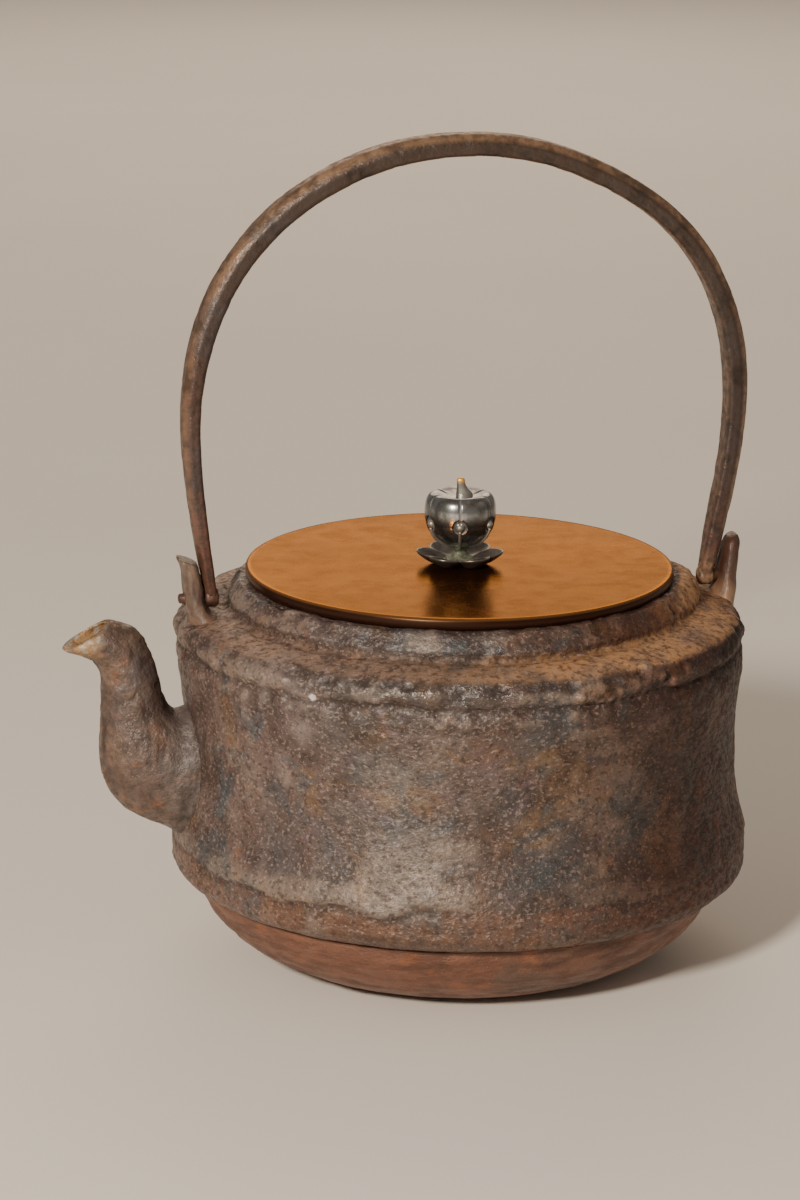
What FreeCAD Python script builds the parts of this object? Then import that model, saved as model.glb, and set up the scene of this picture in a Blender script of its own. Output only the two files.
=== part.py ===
"""Cast iron kettle: a thin cast body with a separate bottom pan, a beak spout, two lugs,
a forged bail that hinges in the lugs, and a flat lid with a fruit knob.

The origin is the centre of the flat base, +Z is up and the spout points along -X.
The bail stands in the XZ plane, and the body, the pan and the lid turn about Z.
All sizes are millimetres.
"""

import FreeCAD, Part

import math
import os

import Sketcher
from FreeCAD import Placement, Rotation, Vector

# ---------------------------------------------------------------- driving dimensions

SIZES = [
    ("wall", 3.6, "thickness of the cast wall"),
    ("foot_radius", 42.0, "flat base of the pan"),
    ("pan_radius", 76.3, "pan at its rim"),
    ("pan_curve", 40.0, "radius of the pan's round side"),
    ("pan_height", 23.8, "top of the pan's rim"),
    ("pan_inner_step", 1.0, "how much narrower the pan's floor is inside"),
    ("spigot_step", 1.9, "how far the spigot stands in from the pan's rim"),
    ("spigot_rise", 5.0, "ring of the pan that stands up inside the body"),
    ("seam_gap", 0.7, "filler between the pan and the body"),
    ("filler_step", 0.5, "how far the filler sits in from the pan's rim"),
    ("lip_radius", 77.6, "lower edge of the body"),
    ("lip_undercut", 0.4, "how far the cavity reaches past the lip"),
    ("skirt_radius", 84.6, "widest ring, low on the body"),
    ("skirt_low", 31.0, "start of the upright part of the skirt"),
    ("skirt_high", 36.5, "end of the upright part of the skirt"),
    ("skirt_round", 8.0, "rounding under the skirt"),
    ("waist_curve", 128.0, "hollow curve of the waist"),
    ("band_radius", 83.1, "upper band"),
    ("band_lean", 0.8, "how far the band's upper edge leans in"),
    ("band_low", 91.5, "lower edge of the upper band"),
    ("band_high", 100.0, "upper edge of the upper band"),
    ("shoulder_radius", 79.0, "outer edge of the shoulder"),
    ("shoulder_height", 104.5, "outer edge of the shoulder"),
    ("shoulder_round", 5.0, "rounding between the band and the shoulder"),
    ("shoulder_inner_step", 3.0, "how much narrower the cavity is at the shoulder"),
    ("collar_foot_radius", 69.0, "collar where it leaves the shoulder"),
    ("collar_foot_height", 107.3, "collar where it leaves the shoulder"),
    ("collar_top_radius", 64.5, "outer edge of the rim"),
    ("rim_height", 113.8, "rim, where the lid rests"),
    ("mouth_radius", 60.0, "mouth"),
    ("mouth_lip_drop", 1.8, "how far the mouth's lower edge is below the collar's foot"),
    ("lid_radius", 62.5, "lid"),
    ("lid_thickness", 3.5, "lid"),
    ("lid_edge", 0.5, "small bevel round the lid"),
    ("flange_radius", 59.5, "ring under the lid"),
    ("flange_wall", 1.6, "ring under the lid"),
    ("flange_depth", 7.0, "ring under the lid"),
    ("shank_radius", 1.8, "shank that holds the knob"),
    ("shank_head", 0.9, "how far the shank's head stands out round it"),
    ("shank_head_depth", 1.4, "shank's head"),
    ("shank_grip", 6.0, "how far the shank goes into the fruit"),
    ("petal_seat", 4.0, "flat middle of the petal washer"),
    ("petal_radius", 12.7, "petal washer under the knob"),
    ("petal_curve", 17.1, "curve of the petals"),
    ("petal_lip", 0.6, "bevel on the rim of the petals"),
    ("petal_rise", 2.9, "how far the petals curl up"),
    ("petal_sheet", 1.1, "thickness of the petal washer"),
    ("notch_radius", 2.4, "gap between two petals"),
    ("notch_reach", 0.6, "how far out of the petals' rim a gap is centred"),
    ("petal_count", 6, "petals"),
    ("neck_height", 4.6, "stem between the petals and the fruit"),
    ("neck_radius", 2.6, "stem between the petals and the fruit"),
    ("neck_foot", 1.6, "flare at the foot of the stem"),
    ("neck_collar", 1.0, "small collar above the foot of the stem"),
    ("neck_hollow", 0.5, "waist of the stem"),
    ("neck_flare", 0.8, "flare of the stem under the fruit"),
    ("neck_waist_low", 2.2, "lower end of the stem's waist"),
    ("neck_waist_high", 3.2, "upper end of the stem's waist"),
    ("fruit_radius", 10.5, "fruit"),
    ("fruit_height", 15.8, "fruit"),
    ("fruit_lower_curve", 8.7, "curve of the fruit's lower half"),
    ("fruit_upper_curve", 8.2, "curve of the fruit's upper half"),
    ("fruit_rim_radius", 6.5, "rim of the fruit's flat top"),
    ("fruit_dish_radius", 3.15, "flat middle of the fruit's dished top"),
    ("fruit_dish_depth", 1.3, "dish of the fruit's top"),
    ("lobe_count", 6, "lobes of the fruit"),
    ("furrow_radius", 0.9, "half the width of the furrow between two lobes"),
    ("furrow_curve", 7.9, "curve of the furrow along the fruit"),
    ("furrow_offset", 0.3, "how far the furrow stands out of the fruit's own curve"),
    ("bead_radius", 1.25, "bead set in each furrow"),
    ("bead_sunk", 0.35, "how far a bead's centre is below the fruit's skin"),
    ("first_lobe", -103.0, "heading of the first furrow, in degrees"),
    ("stalk_rise", 4.4, "stalk on top of the fruit"),
    ("stalk_foot_radius", 1.5, "stalk where it leaves the fruit"),
    ("stalk_tip_radius", 0.8, "tip of the stalk"),
    ("washer_radius", 5.0, "washer under the lid"),
    ("washer_thickness", 1.2, "washer under the lid"),
    ("pivot_height", 110.5, "hinge axis of the bail"),
    ("pin_radius", 2.0, "hooked end of the bail"),
    ("pin_clearance", 0.1, "gap between a hooked end and its lug"),
    ("bail_height", 240.9, "middle of the bail's section at the top"),
    ("bail_depth", 5.6, "bail across the arch"),
    ("bail_width", 9.2, "bail along Y"),
    ("eye_radius", 3.3, "rounded end of each leg of the bail"),
    ("bail_bevel", 1.9, "bevel on the bail's outer edges"),
    ("bail_inner_bevel", 1.0, "bevel on the bail's inner edges"),
    ("spout_wall", 2.8, "wall of the spout"),
    ("mouth_wall", 1.7, "wall at the spout's mouth"),
]

doc = FreeCAD.newDocument("iron_kettle")
sheet = doc.addObject("Spreadsheet::Sheet", "sizes")
for row, (alias, value, note) in enumerate(SIZES, start=1):
    sheet.set(f"A{row}", note)
    sheet.set(f"B{row}", str(value))
    sheet.setAlias(f"B{row}", alias)
doc.recompute()


class Size:
    """A number together with the sheet formula that gives it."""

    def __init__(self, value, formula):
        self.value = value
        self.formula = formula

    def join(self, other, sign, value):
        return Size(value, f"({self.formula} {sign} {as_size(other).formula})")

    def __add__(self, other):
        return self.join(other, "+", self.value + as_size(other).value)

    def __sub__(self, other):
        return self.join(other, "-", self.value - as_size(other).value)

    def __mul__(self, other):
        return self.join(other, "*", self.value * as_size(other).value)


def as_size(number):
    """Turns a plain number into a Size, and leaves a Size as it is."""
    if isinstance(number, Size):
        return number
    return Size(float(number), str(number))


class Sheet:
    """Gives each cell of the sheet as a Size, by its alias."""

    def __getattr__(self, alias):
        return Size(float(getattr(sheet, alias)), f"sizes.{alias}")


dim = Sheet()

# ---------------------------------------------------------------- sketches and bodies


def origin_plane(body, role):
    """The body's own origin plane with that role, such as XZ_Plane."""
    return next(f for f in body.Origin.OriginFeatures if f.Role == role)


def new_sketch(body, name, role="XZ_Plane"):
    sketch = body.newObject("Sketcher::SketchObject", name)
    sketch.AttachmentSupport = (origin_plane(body, role), [""])
    sketch.MapMode = "FlatFace"
    return sketch


def bind(sketch, kind, where, size):
    """Adds a constraint whose value is a sheet formula."""
    index = sketch.addConstraint(Sketcher.Constraint(kind, *where, size.value))
    sketch.setExpression(f"Constraints[{index}]", size.formula)


def arc_between(start, end, radius, bulge):
    """An arc of that radius from start to end. Bulge +1 turns left on the way, -1 turns right."""
    middle = (start + end) * 0.5
    chord = end - start
    depth = math.sqrt(radius**2 - (chord.Length / 2) ** 2)
    left = Vector(-chord.y, chord.x, 0).normalize()
    centre = middle + left * (depth * bulge)
    angles = [math.atan2(p.y - centre.y, p.x - centre.x) for p in (start, end)]
    if bulge < 0:
        angles.reverse()
    return Part.ArcOfCircle(Part.Circle(centre, Vector(0, 0, 1), radius), *angles)


def draw_outline(sketch, corners):
    """Draws a closed outline. A corner is (x, y), or (x, y, radius, bulge) when an arc leads to it.

    Each corner is held by its two distances from the sketch's axes, and each arc by its radius.
    """
    corners = [tuple(as_size(v) for v in c[:3]) + tuple(c[3:]) for c in corners]
    points = [Vector(c[0].value, c[1].value, 0) for c in corners]
    joints = []
    for index, corner in enumerate(corners):
        start, end = points[index - 1], points[index]
        if len(corner) == 2:
            edge = sketch.addGeometry(Part.LineSegment(start, end), False)
            joints.append(((edge, 1), (edge, 2)))
            continue
        radius, bulge = corner[2], corner[3]
        edge = sketch.addGeometry(arc_between(start, end, radius.value, bulge), False)
        first, last = (1, 2) if bulge > 0 else (2, 1)
        joints.append(((edge, first), (edge, last)))
        bind(sketch, "Radius", (edge,), radius)
    for index, corner in enumerate(corners):
        arriving = joints[index][1]
        leaving = joints[(index + 1) % len(joints)][0]
        sketch.addConstraint(Sketcher.Constraint("Coincident", *arriving, *leaving))
        for kind, axis, size in (("DistanceX", -2, corner[0]), ("DistanceY", -1, corner[1])):
            if size.value == 0:
                sketch.addConstraint(Sketcher.Constraint("PointOnObject", *arriving, axis))
            else:
                bind(sketch, kind, arriving, size)


def turned(name, corners):
    """A body turned about Z from an outline of radii and heights."""
    body = doc.addObject("PartDesign::Body", name)
    sketch = new_sketch(body, name + "_outline")
    draw_outline(sketch, corners)
    turn = body.newObject("PartDesign::Revolution", name + "_turn")
    turn.Profile = sketch
    turn.ReferenceAxis = (sketch, ["V_Axis"])
    turn.Angle = 360
    sketch.Visibility = False
    return body


def washer(name, inner, outer, low, high):
    """A flat ring or, with inner 0, a plain disc."""
    return turned(name, [(inner, low), (outer, low), (outer, high), (inner, high)])


def cut(name, base, tool):
    """A node that is one object less another."""
    result = doc.addObject("Part::Cut", name)
    result.Base = base
    result.Tool = tool
    return result


def fused(name, parts):
    result = doc.addObject("Part::MultiFuse", name)
    result.Shapes = parts
    return result


def pattern(body, name, feature, count):
    """Repeats a feature round Z."""
    doc.recompute()
    copies = body.newObject("PartDesign::PolarPattern", name)
    copies.Originals = [feature]
    copies.Axis = (next(f for f in body.Origin.OriginFeatures if f.Role == "Z_Axis"), [""])
    copies.Angle = 360
    copies.setExpression("Occurrences", count.formula)
    body.Tip = copies
    return copies


# ---------------------------------------------------------------- body, pan and filler

seam_height = dim.pan_height + dim.seam_gap
spigot_radius = dim.pan_radius - dim.spigot_step

outside = turned(
    "shell_outside",
    [
        (0, seam_height),
        (dim.lip_radius, seam_height),
        (dim.skirt_radius, dim.skirt_low, dim.skirt_round, 1),
        (dim.skirt_radius, dim.skirt_high),
        (dim.band_radius, dim.band_low, dim.waist_curve, -1),
        (dim.band_radius - dim.band_lean, dim.band_high),
        (dim.shoulder_radius, dim.shoulder_height, dim.shoulder_round, 1),
        (dim.collar_foot_radius, dim.collar_foot_height),
        (dim.collar_top_radius, dim.rim_height),
        (0, dim.rim_height),
    ],
)

inside = turned(
    "shell_inside",
    [
        (0, seam_height),
        (spigot_radius, seam_height),
        (spigot_radius, seam_height + dim.wall),
        (dim.lip_radius + dim.lip_undercut, seam_height + dim.wall),
        (dim.skirt_radius - dim.wall, dim.skirt_low),
        (dim.skirt_radius - dim.wall, dim.skirt_high),
        (dim.band_radius - dim.wall, dim.band_low, dim.waist_curve + dim.wall, -1),
        (dim.shoulder_radius - dim.shoulder_inner_step, dim.shoulder_height - dim.wall),
        (dim.mouth_radius, dim.collar_foot_height - dim.mouth_lip_drop),
        (dim.mouth_radius, dim.rim_height),
        (0, dim.rim_height),
    ],
)

turned(
    "bottom_pan",
    [
        (0, 0),
        (dim.foot_radius, 0),
        (dim.pan_radius, dim.pan_height, dim.pan_curve, 1),
        (spigot_radius, dim.pan_height),
        (spigot_radius, seam_height + dim.spigot_rise),
        (dim.pan_radius - dim.wall, seam_height + dim.spigot_rise),
        (dim.pan_radius - dim.wall, dim.pan_height),
        (dim.foot_radius - dim.pan_inner_step, dim.wall, dim.pan_curve - dim.wall, -1),
        (0, dim.wall),
    ],
)

washer("seam_filler", spigot_radius, dim.pan_radius - dim.filler_step, dim.pan_height, seam_height)

# ---------------------------------------------------------------- lid

lid_top = dim.rim_height + dim.lid_thickness

turned(
    "lid_disc",
    [
        (dim.shank_radius, dim.rim_height),
        (dim.lid_radius - dim.lid_edge, dim.rim_height),
        (dim.lid_radius, dim.rim_height + dim.lid_edge),
        (dim.lid_radius, lid_top - dim.lid_edge),
        (dim.lid_radius - dim.lid_edge, lid_top),
        (dim.shank_radius, lid_top),
    ],
)

washer(
    "lid_flange",
    dim.flange_radius - dim.flange_wall,
    dim.flange_radius,
    dim.rim_height - dim.flange_depth,
    dim.rim_height,
)

washer(
    "under_lid_washer",
    dim.shank_radius,
    dim.washer_radius,
    dim.rim_height - dim.washer_thickness,
    dim.rim_height,
)

# ---------------------------------------------------------------- knob

petal_rim = lid_top + dim.petal_rise
petal_washer = turned(
    "petal_washer",
    [
        (dim.shank_radius, lid_top),
        (dim.petal_seat, lid_top),
        (dim.petal_radius, petal_rim, dim.petal_curve, 1),
        (dim.petal_radius - dim.petal_lip, petal_rim + dim.petal_sheet),
        (dim.petal_seat, lid_top + dim.petal_sheet, dim.petal_curve - dim.petal_sheet, -1),
        (dim.shank_radius, lid_top + dim.petal_sheet),
    ],
)
notch_sketch = new_sketch(petal_washer, "notch_outline", "XY_Plane")
sketch_front = -90
notch_turn = Rotation(Vector(0, 0, 1), dim.first_lobe.value - sketch_front)
notch_sketch.AttachmentOffset = Placement(Vector(0, 0, 0), notch_turn)
notch_reach = dim.petal_radius + dim.notch_reach
notch_at = Vector(0, -notch_reach.value, 0)
notch_circle = Part.Circle(notch_at, Vector(0, 0, 1), dim.notch_radius.value)
notch_edge = notch_sketch.addGeometry(notch_circle, False)
notch_sketch.addConstraint(Sketcher.Constraint("PointOnObject", notch_edge, 3, -2))
bind(notch_sketch, "Radius", (notch_edge,), dim.notch_radius)
bind(notch_sketch, "DistanceY", (notch_edge, 3, -1, 1), notch_reach)
doc.recompute()
notch = petal_washer.newObject("PartDesign::Pocket", "notch")
notch.Profile = notch_sketch
notch.Type = "ThroughAll"
notch.Midplane = True
pattern(petal_washer, "notches", notch, dim.petal_count)

neck_low = lid_top + dim.petal_sheet
fruit_low = neck_low + dim.neck_height
fruit_top = fruit_low + dim.fruit_height
turned(
    "knob_neck",
    [
        (dim.shank_radius, neck_low),
        (dim.neck_radius + dim.neck_foot, neck_low),
        (dim.neck_radius + dim.neck_collar, neck_low + dim.neck_collar),
        (dim.neck_radius - dim.neck_hollow, neck_low + dim.neck_waist_low),
        (dim.neck_radius - dim.neck_hollow, neck_low + dim.neck_waist_high),
        (dim.neck_radius + dim.neck_flare, fruit_low),
        (dim.shank_radius, fruit_low),
    ],
)

shank_top = fruit_low + dim.shank_grip
washer_low = dim.rim_height - dim.washer_thickness
turned(
    "knob_shank",
    [
        (0, washer_low - dim.shank_head_depth),
        (dim.shank_radius + dim.shank_head, washer_low - dim.shank_head_depth),
        (dim.shank_radius + dim.shank_head, washer_low),
        (dim.shank_radius, washer_low),
        (dim.shank_radius, shank_top),
        (0, shank_top),
    ],
)

fruit_middle = fruit_low + dim.fruit_height * 0.5
fruit_turned = turned(
    "fruit_turned",
    [
        (dim.shank_radius, fruit_low),
        (dim.neck_radius + dim.neck_flare, fruit_low),
        (dim.fruit_radius, fruit_middle, dim.fruit_lower_curve, 1),
        (dim.fruit_rim_radius, fruit_top, dim.fruit_upper_curve, 1),
        (dim.fruit_dish_radius, fruit_top - dim.fruit_dish_depth),
        (0, fruit_top - dim.fruit_dish_depth),
        (0, shank_top),
        (dim.shank_radius, shank_top),
    ],
)

furrow_sweep = 170
bead_reach = dim.fruit_radius - dim.bead_sunk
furrow_reach = dim.fruit_radius - dim.furrow_curve + dim.furrow_offset
furrow_upright = Rotation(Vector(1, 0, 0), 90) * Rotation(Vector(0, 0, 1), -furrow_sweep / 2)
furrow_cutters = []
beads = []
for lobe in range(int(dim.lobe_count.value)):
    heading = dim.first_lobe.value + lobe * 360 / dim.lobe_count.value
    turn = Rotation(Vector(0, 0, 1), heading)
    furrow = doc.addObject("Part::Torus", f"furrow_{lobe}")
    furrow.setExpression("Radius1", dim.furrow_curve.formula)
    furrow.setExpression("Radius2", dim.furrow_radius.formula)
    furrow.Angle3 = furrow_sweep
    furrow_hub = Vector(furrow_reach.value, 0, fruit_middle.value)
    furrow.Placement = Placement(turn.multVec(furrow_hub), turn * furrow_upright)
    bead = doc.addObject("Part::Sphere", f"bead_{lobe}")
    bead.setExpression("Radius", dim.bead_radius.formula)
    bead_hub = Vector(bead_reach.value, 0, fruit_middle.value)
    bead.Placement = Placement(turn.multVec(bead_hub), turn)
    furrow_cutters.append(furrow)
    beads.append(bead)

knob_beads = doc.addObject("Part::Compound", "knob_beads")
knob_beads.Links = beads

cut("knob_fruit", fruit_turned, fused("fruit_hollows", furrow_cutters + beads))

stalk = doc.addObject("Part::Cone", "knob_stalk")
stalk.setExpression("Radius1", dim.stalk_foot_radius.formula)
stalk.setExpression("Radius2", dim.stalk_tip_radius.formula)
stalk.setExpression("Height", (dim.stalk_rise + dim.fruit_dish_depth).formula)
stalk.Placement = Placement(Vector(0, 0, (fruit_top - dim.fruit_dish_depth).value), Rotation())

# ---------------------------------------------------------------- lofted castings and forging

RING_POINTS = 16


def oval(centre, along, half_along, across, half_across):
    """Control points round an oval, far enough out that a cubic through them has its size."""
    spread = 3 / (2 + math.cos(2 * math.pi / RING_POINTS))
    ring = []
    for index in range(RING_POINTS):
        angle = 2 * math.pi * index / RING_POINTS
        offset = along * (half_along * math.cos(angle)) + across * (half_across * math.sin(angle))
        ring.append(centre + offset * spread)
    return ring


def sewn(name, faces, end_edges):
    """A solid from its side faces and from the edges round each of its two flat ends."""
    caps = [Part.Face(Part.Wire(Part.sortEdges(edges)[0])) for edges in end_edges]
    shell = Part.makeShell(faces + caps)
    shell.sewShape()
    if not shell.isClosed():
        raise RuntimeError(f"the skin of {name} is open")
    solid = Part.Solid(shell)
    if solid.Volume < 0:
        solid = Part.Solid(shell.reversed())
    item = doc.addObject("Part::Feature", name)
    item.Shape = solid
    return item


def skinned_ovals(name, rings):
    """A smooth solid whose skin is drawn by ovals of control points, and ends at the outer two."""
    spans = len(rings) - 3
    along = [4] + [1] * (spans - 1) + [4]
    around = [1] * (RING_POINTS + 1)
    surface = Part.BSplineSurface()
    knots_along = list(range(spans + 1))
    knots_around = list(range(RING_POINTS + 1))
    surface.buildFromPolesMultsKnots(
        rings, along, around, knots_along, knots_around, False, True, 3, 3
    )
    low, high = surface.bounds()[:2]
    ends = [[surface.uIso(place).toShape()] for place in (low, high)]
    return sewn(name, [surface.toShape()], ends)


def skinned_bar(name, rings):
    """A solid with a crease along each corner of its many-sided rings."""
    rails = []
    for column in range(len(rings[0])):
        rail = Part.BSplineCurve()
        rail.interpolate([ring[column] for ring in rings])
        rails.append(rail.toShape())
    faces = [Part.makeRuledSurface(rails[i - 1], rails[i]) for i in range(len(rails))]
    ends = []
    for ring in (rings[0], rings[-1]):
        ends.append([Part.LineSegment(ring[i - 1], ring[i]).toShape() for i in range(len(ring))])
    return sewn(name, faces, ends)


def plane_vector(degrees):
    """A direction in the XZ plane, turned up from +X."""
    return Vector(math.cos(math.radians(degrees)), 0, math.sin(math.radians(degrees)))


SIDEWAYS = Vector(0, 1, 0)

# Each station of the spout: its centre's x and z, the slope of its section, the section's
# half size in the XZ plane, and its half size along Y. The first three run straight through the
# body's wall, and the last is the oblique mouth.
SPOUT_STATIONS = [
    (-70.0, 58.6, 90.0, 18.4, 13.2),
    (-76.0, 58.6, 90.0, 18.4, 13.2),
    (-82.0, 58.6, 90.0, 18.4, 13.2),
    (-89.5, 59.4, 84.0, 17.8, 12.8),
    (-98.6, 66.6, 55.0, 14.6, 11.4),
    (-98.4, 77.6, 30.0, 9.8, 9.6),
    (-97.2, 87.4, 12.0, 8.6, 8.4),
    (-98.8, 96.0, 34.0, 9.2, 7.8),
    (-105.8, 99.2, 49.0, 8.0, 6.8),
    (-109.8, 100.9, 26.0, 8.9, 6.2),
]


def spout_sections(root_inset, mouth_inset, mouth_reach):
    """The spout's sections, made smaller by a wall and carried past the mouth."""
    last = len(SPOUT_STATIONS) - 1
    rings = []
    for index, (x, z, slope, half_tall, half_wide) in enumerate(SPOUT_STATIONS):
        inset = root_inset + (mouth_inset - root_inset) * index / last
        centre = Vector(x, 0, z)
        if index == last:
            centre += plane_vector(slope + 90) * mouth_reach
        rings.append(oval(centre, plane_vector(slope), half_tall - inset, SIDEWAYS, half_wide - inset))
    return rings


spout_form = skinned_ovals("spout_form", spout_sections(0, 0, 0))
channel_rings = spout_sections(dim.spout_wall.value, dim.mouth_wall.value, 1.0)
channel = skinned_ovals("spout_channel", channel_rings)
cut("body_shell", cut("shell_casting", outside, inside), channel)
cut("spout", cut("spout_outside", spout_form, outside), channel)

# Each station of a lug: height, distance of its centre from the Z axis, thickness along X
# and width along Y.
SPOUT_SIDE_LUG = [
    (102.2, 77.9, 6.4, 13.0),
    (107.0, 78.7, 5.8, 11.6),
    (110.5, 79.0, 5.8, 10.6),
    (116.0, 80.0, 5.0, 9.0),
    (119.4, 80.6, 4.6, 8.6),
    (121.8, 81.2, 5.9, 9.6),
]
REAR_LUG = [
    (102.2, 78.4, 6.6, 14.0),
    (107.0, 80.3, 5.9, 11.8),
    (110.5, 80.4, 5.7, 10.6),
    (116.0, 81.3, 5.3, 9.6),
    (120.0, 82.1, 4.7, 8.4),
    (122.6, 82.4, 3.0, 5.6),
]

# Each foot of the bail: its distance from the Z axis and its thickness along X.
LEG_FOOT = {-1: (73.3, 4.0), 1: (74.3, 4.4)}

BORE_START = 65
BORE_LENGTH = 30


def lug(name, stations, side):
    """A lug that grows out of the shoulder and is bored along X for the bail's end."""
    wires = []
    for height, centre, thick, wide in stations:
        middle = Vector(side * centre, 0, height)
        rim = Part.Ellipse(middle + SIDEWAYS * (wide / 2), middle + Vector(thick / 2, 0, 0), middle)
        wires.append(Part.Wire(rim.toShape()))
    form = doc.addObject("Part::Feature", name + "_form")
    form.Shape = Part.makeLoft(wires, True, False)
    bore = doc.addObject("Part::Cylinder", name + "_bore")
    bore.setExpression("Radius", (dim.pin_radius + dim.pin_clearance).formula)
    bore.Height = BORE_LENGTH
    outwards = Rotation(Vector(0, 0, 1), Vector(side, 0, 0))
    bore.Placement = Placement(Vector(side * BORE_START, 0, dim.pivot_height.value), outwards)
    return cut(name, cut(name + "_rooted", form, outside), bore)


lug("spout_side_lug", SPOUT_SIDE_LUG, -1)
lug("rear_lug", REAR_LUG, 1)

# The arch of the bail, from the spout side to the rear, through the middle of its section.
BAIL_ARCH = [
    (-75.0, 122.0),
    (-77.9, 137.0),
    (-79.8, 158.0),
    (-76.3, 186.0),
    (-62.4, 212.8),
    (-37.5, 232.0),
    (1.5, dim.bail_height.value),
    (39.8, 231.2),
    (61.8, 217.0),
    (78.0, 191.0),
    (82.1, 163.0),
    (79.9, 140.0),
    (76.4, 122.0),
]
foot_points = [(side * LEG_FOOT[side][0], dim.pivot_height.value) for side in (-1, 1)]
bail_points = [Vector(x, 0, z) for x, z in [foot_points[0], *BAIL_ARCH, foot_points[1]]]
bail_line = Part.BSplineCurve()
bail_line.interpolate(bail_points)

# The taper at a foot, how fast it fills out along the arch, and its effect on the width.
FOOT_TAPER = 0.5
TAPER_RATE = 2.6
FOOT_WIDTH = 0.6


def bail_section(share):
    """The forged bar's section at a share of the arch from 0 to 1.

    It is flat with bevelled edges, and tapers towards both feet.
    """
    first, last = bail_line.FirstParameter, bail_line.LastParameter
    at = first + (last - first) * share
    centre = bail_line.value(at)
    inward = Vector(*bail_line.tangent(at)[0]).cross(SIDEWAYS)
    taper = min(1.0, FOOT_TAPER + TAPER_RATE * min(share, 1 - share))
    foot = LEG_FOOT[-1 if share < 0.5 else 1][1]
    half_deep = (foot + (dim.bail_depth.value - foot) * (2 * taper - 1)) / 2
    half_wide = dim.bail_width.value * (FOOT_WIDTH + (1 - FOOT_WIDTH) * taper) / 2
    bevel = dim.bail_bevel.value * taper
    outer = [(-half_deep, half_wide - bevel), (bevel - half_deep, half_wide)]
    trim = dim.bail_inner_bevel.value
    inner = [(half_deep - trim, half_wide), (half_deep, half_wide - trim)]
    half = outer + inner
    ring = half + [(deep, -wide) for deep, wide in reversed(half)]
    return [centre + inward * deep + SIDEWAYS * wide for deep, wide in ring]


arch_sections = 25
arch_rings = [bail_section(index / (arch_sections - 1)) for index in range(arch_sections)]
arch = skinned_bar("bail_arch", arch_rings)


def peg(name, start, length, radius, side):
    """A round stub along X, outwards from start."""
    item = doc.addObject("Part::Cylinder", name)
    item.setExpression("Radius", radius.formula)
    item.Height = length
    place = Vector(side * start, 0, dim.pivot_height.value)
    item.Placement = Placement(place, Rotation(Vector(0, 0, 1), Vector(side, 0, 0)))
    return item


HOOK_ENDS = ((-1, "spout_side", 84.4), (1, "rear", 83.0))
bail_parts = [arch]
for side, tail, hook_end in HOOK_ENDS:
    foot, thick = LEG_FOOT[side]
    bail_parts.append(peg("eye_" + tail, foot - thick / 2, thick, dim.eye_radius, side))
    bail_parts.append(peg("hook_" + tail, foot, hook_end - foot, dim.pin_radius, side))
fused("handle_bail", bail_parts)

# ---------------------------------------------------------------- check and write

NODES = [
    "body_shell",
    "bottom_pan",
    "seam_filler",
    "spout",
    "spout_side_lug",
    "rear_lug",
    "handle_bail",
    "lid_disc",
    "lid_flange",
    "under_lid_washer",
    "petal_washer",
    "knob_neck",
    "knob_shank",
    "knob_fruit",
    "knob_beads",
    "knob_stalk",
]

doc.recompute()
for item in doc.Objects:
    if any(flag in item.State for flag in ("Invalid", "Error")):
        raise RuntimeError(f"{item.Name} failed: {item.State}")

os.makedirs("parts", exist_ok=True)
for name in NODES:
    node = doc.getObject(name)
    node.Label = name
    if node.Shape.isNull() or not node.Shape.isValid():
        raise RuntimeError(f"{name} has no valid shape")
for name in NODES:
    doc.getObject(name).Shape.exportStep(f"parts/{name}.step")
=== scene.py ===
"""Looks for a cast iron kettle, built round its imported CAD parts.

The frame is the CAD's: metres, +Z up, the spout along -X, the centre of the base at the origin.
Shapes are worked out in millimetres and turned into metres when a mesh is made.
"""

import math

import bpy
import numpy as np
from mathutils import Matrix, Vector


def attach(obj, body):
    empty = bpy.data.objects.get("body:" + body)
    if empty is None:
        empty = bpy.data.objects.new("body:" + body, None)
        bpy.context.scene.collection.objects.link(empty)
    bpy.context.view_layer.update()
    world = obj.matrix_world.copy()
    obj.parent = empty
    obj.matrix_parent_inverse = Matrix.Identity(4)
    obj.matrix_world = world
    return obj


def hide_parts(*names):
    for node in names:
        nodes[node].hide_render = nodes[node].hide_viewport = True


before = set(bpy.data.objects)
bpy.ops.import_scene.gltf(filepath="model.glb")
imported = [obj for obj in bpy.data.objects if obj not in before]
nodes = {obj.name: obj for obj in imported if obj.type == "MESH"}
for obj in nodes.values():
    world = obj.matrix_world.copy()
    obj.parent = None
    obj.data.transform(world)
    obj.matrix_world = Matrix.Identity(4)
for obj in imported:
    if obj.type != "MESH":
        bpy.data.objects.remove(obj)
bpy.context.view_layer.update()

MM = 0.001
FRONT_HEADING = -103.0  # the side of the kettle that faces the camera, in degrees about Z

# ---- noise for relief


def lattice(x, y, z, seed):
    """A repeatable number from 0 to 1 for each point of a whole-number lattice."""
    h = x.astype(np.uint32) * np.uint32(374761393)
    h = h + y.astype(np.uint32) * np.uint32(668265263)
    h = h + z.astype(np.uint32) * np.uint32(2246822519)
    h = h + np.uint32(seed * 2654435 + 97)
    h = (h ^ (h >> np.uint32(13))) * np.uint32(1274126177)
    h = h ^ (h >> np.uint32(16))
    return h / 4294967295.0


def lumps(points, size, seed):
    """Smooth noise from -1 to 1 with lumps about that size across."""
    scaled = points / size
    base = np.floor(scaled).astype(np.int64)
    part = scaled - base
    part = part * part * (3 - 2 * part)
    total = np.zeros(len(points))
    for corner in np.ndindex(2, 2, 2):
        weight = np.ones(len(points))
        for axis in range(3):
            weight = weight * (part[:, axis] if corner[axis] else 1 - part[:, axis])
        total += weight * lattice(*(base + corner).T, seed)
    return total * 2 - 1


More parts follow.
